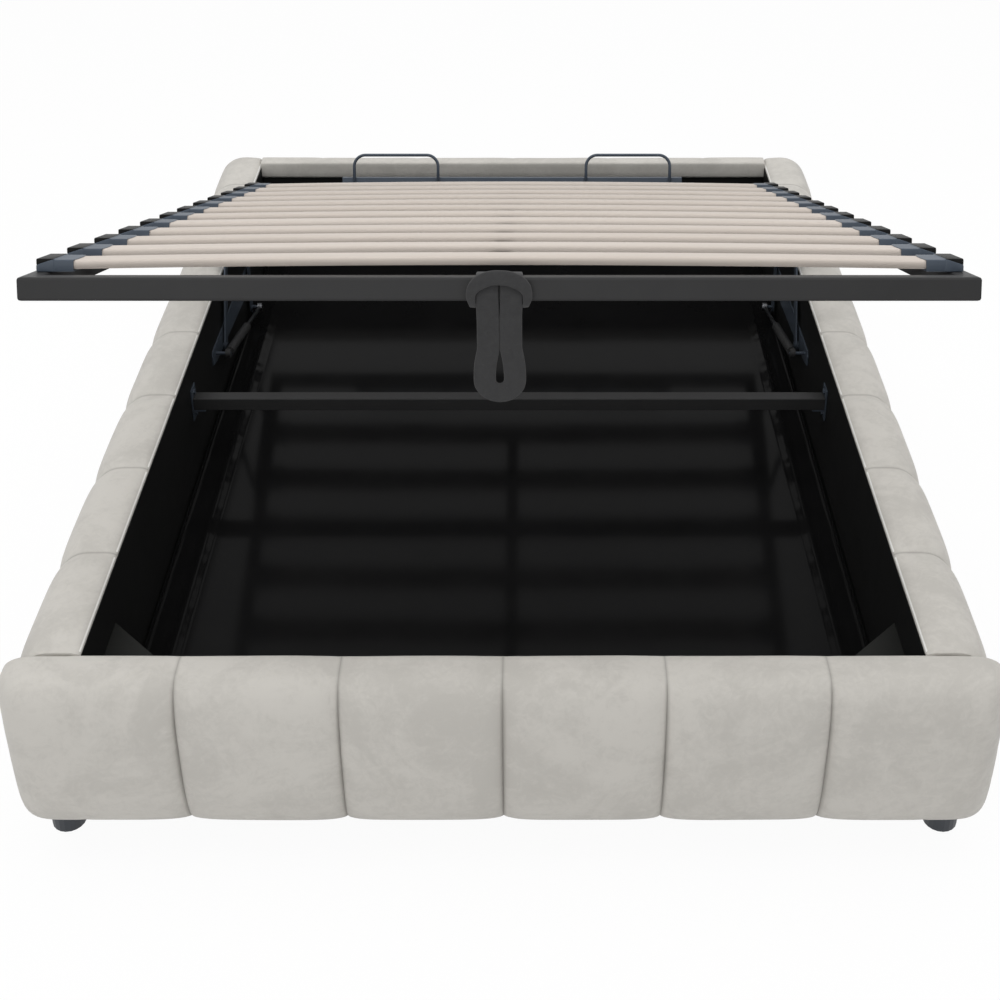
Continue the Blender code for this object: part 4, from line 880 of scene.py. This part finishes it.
def hitch_stations():
    """Half of the endless band, from the middle of the bight to the middle of the turn, in the world."""
    half = []
    for x, y, z, *face, width in HITCH:
        middle = TO_WORLD @ (Vector((x, y, z)) * MM)
        half.append([*middle, *(TO_WORLD.to_3x3() @ Vector(face)), width * MM])
    for drop, gap in LEG_GAPS:
        x = (gap * MM + LEG_WIDTH) / 2
        half.append([x, STRAP_PIVOT.y, STRAP_PIVOT.z - drop * MM, 0, -1, 0, LEG_WIDTH])
    hub = STRAP_PIVOT.z - STRAP_DROP + TURN_RADIUS + LEG_WIDTH / 2
    for turned in (0, 30, 60, 90):
        x, down = TURN_RADIUS * cos(radians(turned)), TURN_RADIUS * sin(radians(turned))
        half.append([x, STRAP_PIVOT.y, hub - down, 0, -1, 0, LEG_WIDTH])
    return half


half = hitch_stations()
mirrored = [[-x, y, z, -fx, fy, fz, width] for x, y, z, fx, fy, fz, width in half[-2:0:-1]]
way = smooth_way(half + mirrored, steps=3)
rings = []
for i, row in enumerate(way):
    tangent = (Vector(way[(i + 1) % len(way)][:3]) - Vector(way[i - 1][:3])).normalized()
    across = Vector(row[3:6]).cross(tangent).normalized()
    face = tangent.cross(across)
    outline = rounded_section(row[6] / 2, -BAND_THICK / 2, BAND_THICK / 2, BAND_CORNER, steps=4)
    rings.append([Vector(row[:3]) + across * a + face * b for a, b in outline])
bm = bmesh.new()
swept(bm, rings, closed=True)
strap = to_object("pull_strap", bm, "strap")
noise.seed_set(FELT_SEED)
for vertex in strap.data.vertices:
    vertex.co += Vector(noise.noise_vector(vertex.co * FELT_LUMPS_A_METRE)) * FELT_UNEVEN
subdivided(strap, 1)
keep(strap, "strap", None, "lift_strap", "lift_strap_collar")
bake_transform(strap)

# %% [markdown]
# ## Lining of the well
#
# A loose sheet of black lining lies on the floor and turns up a little at the walls. Its hem is gathered on
# an elastic along both sides, which throws up a low puckered ridge a hand's width in from each wall. A grid
# whose columns crowd towards the walls is pushed into that shape: the ridge's height is a bump across the
# sheet times a ripple along it, and a slow noise in the ripple's phase keeps the puckers from looking
# machined.

# %% The lining
liner_low, liner_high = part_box("storage_liner")
LINER_LIP = 14 * MM
LINING_LIFT = 0.5 * MM
RIDGE_IN = 52 * MM
RIDGE_HALF = 13 * MM
RIDGE_RISE = 4.5 * MM
PUCKER_RISE = 0.7 * MM
PUCKER_LENGTH = 48 * MM
PUCKER_DRIFT = 2.4
DRIFTS_A_METRE = 11.0
CREASE_RISE = 0.4 * MM
CREASES_A_METRE = 3.0
CROWDING = 1.7
liner_half = liner_high.x
liner_length_half = (liner_high.y - liner_low.y) / 2
liner_middle = (liner_high.y + liner_low.y) / 2
bm = bmesh.new()
bmesh.ops.create_grid(bm, x_segments=96, y_segments=340, size=1.0)
for vert in bm.verts:
    u, v = vert.co.x, vert.co.y
    side = 1 if u > 0 else -1
    out = (1 - (1 - abs(u)) ** CROWDING) * (liner_half + LINER_LIP)
    end = v * (liner_length_half + LINER_LIP)
    x = min(out, liner_half)
    y = liner_middle + max(-liner_length_half, min(liner_length_half, end))
    turned_up = max(out - liner_half, abs(end) - liner_length_half, 0.0)
    hump = max(0.0, 1 - ((liner_half - out - RIDGE_IN) / RIDGE_HALF) ** 2) ** 2
    drift = noise.noise(Vector((0, y * DRIFTS_A_METRE, side * 3.0)))
    phase = 2 * pi * y / PUCKER_LENGTH + PUCKER_DRIFT * drift
    pucker = 0.5 + 0.5 * sin(phase + 2.0 * (liner_half - out) / RIDGE_HALF)
    creased = noise.noise(Vector((side * x * CREASES_A_METRE, y * CREASES_A_METRE, 0.3)))
    slack = max(0.0, creased) * CREASE_RISE
    z = liner_low.z + LINING_LIFT + turned_up + hump * (RIDGE_RISE + PUCKER_RISE * pucker) + slack
    vert.co = (side * (x + hump * PUCKER_RISE * sin(phase / 2) / 2), y, z)
bmesh.ops.recalc_face_normals(bm, faces=bm.faces)
if sum(f.normal.z for f in bm.faces) < 0:
    bmesh.ops.reverse_faces(bm, faces=bm.faces)
lining = to_object("well_lining", bm, "liner")
keep(lining, "liner", "bed_box", "storage_liner")

# %% [markdown]
# ## Slats
#
# A sprung slat isn't a plank. Its long edges are rounded, and it bows up towards its middle, so light rolls
# over each one. A ring of the rounded section is swept along the bow, with the rings closer at the ends.

# %% Twelve slats
SLAT_WIDTH = 65 * MM
SLAT_THICK = 13.5 * MM
SLAT_SEAT = 3.7 * MM
SLAT_BOW = 6 * MM
SLAT_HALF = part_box("slat_01")[1].x
SLAT_MOUTH = SLAT_HALF - 30 * MM
SLAT_EDGE = 6 * MM
SLAT_END_EASE = 0.6 * MM
SLAT_RINGS = 28
SLAT_PLACES = [FIRST_SLAT + SLAT_PITCH * i for i in range(SLAT_COUNT)]


def on_platform(x, along, height):
    return TO_WORLD @ Vector((x, along, height))


for number, along in enumerate(SLAT_PLACES, 1):
    rings = []
    for k in range(SLAT_RINGS + 1):
        x = -SLAT_HALF * cos(pi * k / SLAT_RINGS)
        rise = SLAT_SEAT + SLAT_BOW * (1 - min(1.0, abs(x) / SLAT_MOUTH) ** 2)
        ease = SLAT_END_EASE if k in (0, SLAT_RINGS) else 0.0
        outline = rounded_section(SLAT_WIDTH / 2 - ease, ease, SLAT_THICK - ease, SLAT_EDGE - ease)
        rings.append([on_platform(x, along + y, rise + z) for y, z in outline])
    swept_piece(f"sprung_slat_{number:02d}", [rings], "slat", "platform", 50, f"slat_{number:02d}")

# %% [markdown]
# ## Spacing tape
#
# A woven tape is stapled under all the slats, along their middle, and keeps them at their spacing. It is the
# dark line that the lining mirrors down the middle of the well. It hangs a little slack between two slats, so
# its rings follow a shallow sine from staple to staple.

# %% The tape
TAPE_WIDTH = 30 * MM
TAPE_THICK = 1.2 * MM
TAPE_SLACK = 3 * MM
TAPE_STEPS = 12
tape_top = SLAT_SEAT + SLAT_BOW - FIT
tape_start = FIRST_SLAT - SLAT_WIDTH / 3
tape_span = SLAT_PITCH * (SLAT_COUNT - 1) + 2 * SLAT_WIDTH / 3
rings = []
for k in range(TAPE_STEPS * SLAT_COUNT + 1):
    y = tape_start + tape_span * k / (TAPE_STEPS * SLAT_COUNT)
    free = abs(((y - FIRST_SLAT) / SLAT_PITCH) % 1 - 0.5) * SLAT_PITCH
    share = max(0.0, 1 - free / (SLAT_PITCH / 2 - SLAT_WIDTH / 2))
    top = tape_top - TAPE_SLACK * sin(pi / 2 * share) ** 2
    outline = rounded_section(TAPE_WIDTH / 2, top - TAPE_THICK, top, TAPE_THICK / 2.5, steps=3)
    rings.append([on_platform(x, y, z) for x, z in outline])
swept_piece("slat_tape", [rings], "strap", "platform", 60)

# %% [markdown]
# ## Slat holders
#
# Each slat ends in a moulded cap: a solid block at the outside, a thinner sleeve with a curved mouth at the
# inside. The cap is one skin that runs over the block, steps down to the sleeve, turns in at the mouth and
# lines the pocket. The mouth bulges towards the slat in its middle, which is the curve that shows against the
# pale wood. The block's top falls away to the outside, and a black wedge fills it up to a level top. The wedge is
# painted shade, a dark shape that stands for the shade on the block's top. The wedges are a piece of their own,
# because a piece has one finish.

# %% Caps in a row
HOLDER_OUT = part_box("slat_holders_right")[1].x
HOLDER_IN = HOLDER_OUT - 55 * MM
HOLDER_STEP = HOLDER_OUT - 27 * MM
HOLDER_HALF = 35.4 * MM
HOLDER_TOP = 20.1 * MM
HOLDER_WALL = 1.6 * MM
POCKET_HALF = 32.9 * MM
POCKET_LOW = 3.3 * MM
POCKET_HIGH = 17.6 * MM
MOUTH_BULGE = 3 * MM
STRIP_WIDTH = 14 * MM
STRIP_THICK = 2 * MM
# How far the block's top falls to the outside. The black wedge of painted shade fills it up.
BLOCK_TOP_FALL = 9 * MM


def block_top(x):
    """The height of the block's falling top at a place across the bed."""
    return HOLDER_TOP - BLOCK_TOP_FALL * (x - HOLDER_STEP) / (HOLDER_OUT - HOLDER_STEP)


def cap_rings(side, along):
    """Stations from the outer end, over the block and the sleeve, and back into the pocket."""
    wall = HOLDER_WALL
    sleeve_half, sleeve_top = HOLDER_HALF - wall / 2, HOLDER_TOP - wall
    shapes = (
        # Place across the bed, section half, low, high, and the share of the mouth's bulge.
        (HOLDER_OUT, HOLDER_HALF - wall, FIT + wall, block_top(HOLDER_OUT) - wall, 0),
        (HOLDER_OUT - wall / 3, HOLDER_HALF - wall / 3, FIT + wall / 3, block_top(HOLDER_OUT) - wall / 3, 0),
        (HOLDER_OUT - wall, HOLDER_HALF, FIT, block_top(HOLDER_OUT - wall), 0),
        (HOLDER_STEP + wall, HOLDER_HALF, FIT, block_top(HOLDER_STEP + wall), 0.3),
        (HOLDER_STEP + wall / 4, HOLDER_HALF - wall / 4, FIT, HOLDER_TOP - wall / 4, 0.3),
        (HOLDER_STEP, sleeve_half, FIT, HOLDER_TOP - wall / 2, 0.3),
        (HOLDER_STEP - wall, sleeve_half, FIT, sleeve_top, 0.3),
        (HOLDER_IN + wall, sleeve_half, FIT, sleeve_top, 1),
        (HOLDER_IN, sleeve_half - wall / 4, FIT + wall / 4, sleeve_top - wall / 4, 1),
        (HOLDER_IN, POCKET_HALF, POCKET_LOW, POCKET_HIGH, 1),
        (SLAT_HALF + MM, POCKET_HALF, POCKET_LOW, POCKET_HIGH, 0),
    )
    rings = []
    for x, half, low, high, bulge in shapes:
        ring = []
        for y, z in rounded_section(half, low, high, wall, between=9):
            inward = bulge * MOUTH_BULGE * max(0.0, 1 - (y / HOLDER_HALF) ** 2) * (z > HOLDER_TOP / 2)
            ring.append(on_platform(side * (x - inward), along + y, z))
        rings.append(ring)
    return rings


def shade_pad_rings(side, along):
    """The black wedge of painted shade over a block: its sections from the outer end to the thin edge at the step.
    """
    wall, half = HOLDER_WALL, HOLDER_HALF - FIT
    thick_low, thin_low = block_top(HOLDER_OUT) - FIT, block_top(HOLDER_STEP + 3 * wall)
    shapes = (
        # Place across the bed, section half, low, high and corner radius.
        (HOLDER_OUT - FIT, half - wall, thick_low, HOLDER_TOP - wall, wall),
        (HOLDER_OUT - wall / 3 - FIT, half - wall / 3, thick_low, HOLDER_TOP - wall / 3, wall),
        (HOLDER_OUT - wall - FIT, half, thick_low, HOLDER_TOP, wall),
        (HOLDER_STEP + 2 * wall, half, thin_low, HOLDER_TOP, wall / 3),
        (HOLDER_STEP + wall / 2, half, thin_low, HOLDER_TOP - FIT / 2, wall / 3),
    )
    rings = []
    for x, half, low, high, radius in shapes:
        outline = rounded_section(half, low, high, radius)
        rings.append([on_platform(side * x, along + y, z) for y, z in outline])
    return rings


def loose_box(bm, low, high):
    """A box on the platform between two corners."""
    made = bmesh.ops.create_cube(bm, size=1.0)["verts"]
    bmesh.ops.scale(bm, vec=Vector(high) - Vector(low), verts=made)
    bmesh.ops.translate(bm, vec=(Vector(high) + Vector(low)) / 2, verts=made)
    bmesh.ops.transform(bm, matrix=TO_WORLD, verts=made)


for side, name in ((-1, "left"), (1, "right")):
    bm = bmesh.new()
    for place in SLAT_PLACES:
        swept(bm, cap_rings(side, place))
    strip = sorted((side * (HOLDER_OUT - MM), side * (HOLDER_OUT - STRIP_WIDTH)))
    for place in SLAT_PLACES[:-1]:
        start, end = place + HOLDER_HALF, place + SLAT_PITCH - HOLDER_HALF
        loose_box(bm, (strip[0], start, FIT), (strip[1], end, FIT + STRIP_THICK))
    holders = to_object(f"holder_row_{name}", bm, "holder", radians(40))
    keep(holders, "holder", "platform", f"slat_holders_{name}")
    # The black wedges are painted shade on the blocks' tops.
    shade_pads = [shade_pad_rings(side, place) for place in SLAT_PLACES]
    swept_piece(f"holder_shade_pads_{name}", shade_pads, "board", "platform", 40)

# %% [markdown]
# ## Mattress stop hoops
#
# The two hoops are bent from 8 mm wire, so each is one round tube along a line with two quarter bends. The
# packed hoops have few facets. Here each bend has many, and the wire's cut ends are eased.

# %% Two hoops
WIRE_RADIUS = 4 * MM
BEND_RADIUS = 30 * MM
HOOP_HALF = 112 * MM
HOOP_CREST = 86 * MM
HOOP_FOOT = 3 * MM
HOOP_ALONG = 1947.7 * MM
BEND_STEPS = 12
WIRE_SIDES = 16
WIRE_END = 0.7
ALONG_PLATFORM = Vector((0, 1, 0))
for side, name in ((-1, "left"), (1, "right")):
    low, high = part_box(f"mattress_hoop_{name}")
    centre = (low.x + high.x) / 2
    line = [(centre - HOOP_HALF, HOOP_FOOT)]
    for turn in (0, 1):
        hub = centre + (2 * turn - 1) * (HOOP_HALF - BEND_RADIUS)
        for k in range(BEND_STEPS + 1):
            angle = pi - pi / 2 * (turn + k / BEND_STEPS)
            line.append((hub + BEND_RADIUS * cos(angle), HOOP_CREST - BEND_RADIUS + BEND_RADIUS * sin(angle)))
    line.append((centre + HOOP_HALF, HOOP_FOOT))
    points = [Vector((x, HOOP_ALONG, z)) for x, z in line]
    points = [points[0].copy()] + points + [points[-1].copy()]
    rings = []
    for k, point in enumerate(points):
        ahead = (points[min(k + 2, len(points) - 1)] - points[max(k - 2, 0)]).normalized()
        out = ALONG_PLATFORM.cross(ahead)
        radius = WIRE_RADIUS * (WIRE_END if k in (0, len(points) - 1) else 1.0)
        if k in (1, len(points) - 2):
            point = point + Vector((0, 0, WIRE_RADIUS / 4))
        spokes = [2 * pi * n / WIRE_SIDES for n in range(WIRE_SIDES)]
        rings.append([TO_WORLD @ (point + (out * cos(a) + ALONG_PLATFORM * sin(a)) * radius) for a in spokes])
    swept_piece(f"stop_hoop_{name}", [rings], "blue_steel", "platform", 50, f"mattress_hoop_{name}")

# %% [markdown]
# ## The stage
#
# A pale floor and an even sky, with one broad soft lamp overhead and a weaker one in front. The camera and
# glossy rays see the floor and the sky as white through their own colour, and the lamps stay at a level where
# a colour renders as it is written. The floor keeps a little of the bed's shadow.

# %% Sky and floor
WHITE = (1.0, 1.0, 1.0, 1.0)
FLOOR_GREY = (0.9, 0.9, 0.9, 1.0)
SKY_LEVEL = 0.56
FLOOR_WHITE_SHARE = 0.95
FLOOR_HALF = 30.0


def seen_straight(graph):
    """One for a camera ray or a glossy ray, with the Light Path output that it starts from."""
    camera_ray = graph.node("ShaderNodeLightPath", {}, {}, "Is Camera Ray")
    return camera_ray.math("MAXIMUM", camera_ray, camera_ray.sibling("Is Glossy Ray")), camera_ray


world = bpy.data.worlds.new("sky")
bpy.context.scene.world = world
world.use_nodes = True
world.node_tree.nodes.clear()
sky = Graph(world.node_tree)
seen, camera_ray = seen_straight(sky)
through = seen.math("MAXIMUM", seen, camera_ray.sibling("Is Transmission Ray"))
lighting = sky.node("ShaderNodeBackground", {}, {"Color": WHITE, "Strength": SKY_LEVEL})
backdrop = sky.node("ShaderNodeBackground", {}, {"Color": WHITE, "Strength": 1.0})
choice = sky.node("ShaderNodeMixShader", {}, {0: through, 1: lighting, 2: backdrop})
sky.tree.links.new(choice.socket, sky.tree.nodes.new("ShaderNodeOutputWorld").inputs["Surface"])

ground = Finish("floor", base_color=FLOOR_GREY, roughness=0.9, specular_ior_level=0.0)
seen, _ = seen_straight(ground)
lit = Wire(ground, ground.shader.outputs[0])
white = ground.node("ShaderNodeEmission", {}, {"Color": WHITE, "Strength": 1.0})
blend = ground.node("ShaderNodeMixShader", {}, {0: FLOOR_WHITE_SHARE * seen, 1: lit, 2: white})
ground.tree.links.new(blend.socket, ground.tree.nodes["Material Output"].inputs["Surface"])
FINISHES["floor"] = ground.material
bm = bmesh.new()
bmesh.ops.create_grid(bm, x_segments=1, y_segments=1, size=FLOOR_HALF)
to_object("floor", bm, "floor")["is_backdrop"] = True
print("sky and floor")


# %% Lamps
def soft_lamp(name, place, aim, size, power):
    """A rectangular lamp at a place, turned to what it aims at."""
    light = bpy.data.lights.new(name, "AREA")
    light.shape = "RECTANGLE"
    light.size, light.size_y = size
    light.energy = power
    lamp = into_scene(name, light)
    lamp.location = place
    lamp.rotation_euler = (Vector(aim) - Vector(place)).to_track_quat("-Z", "Y").to_euler()


soft_lamp("overhead", place=(0.0, -0.2, 3.8), aim=(0, -0.1, 0), size=(6.5, 3.5), power=125)
soft_lamp("front", place=(-1.2, -4.6, 2.6), aim=(0, -0.6, 0.3), size=(3.0, 2.0), power=34)
bpy.context.scene.view_settings.view_transform = "Standard"
print("two lamps")

# %% Size of the dressed bed
low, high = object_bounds()
print("visual box", [round(v, 4) for v in (*low, *high)])
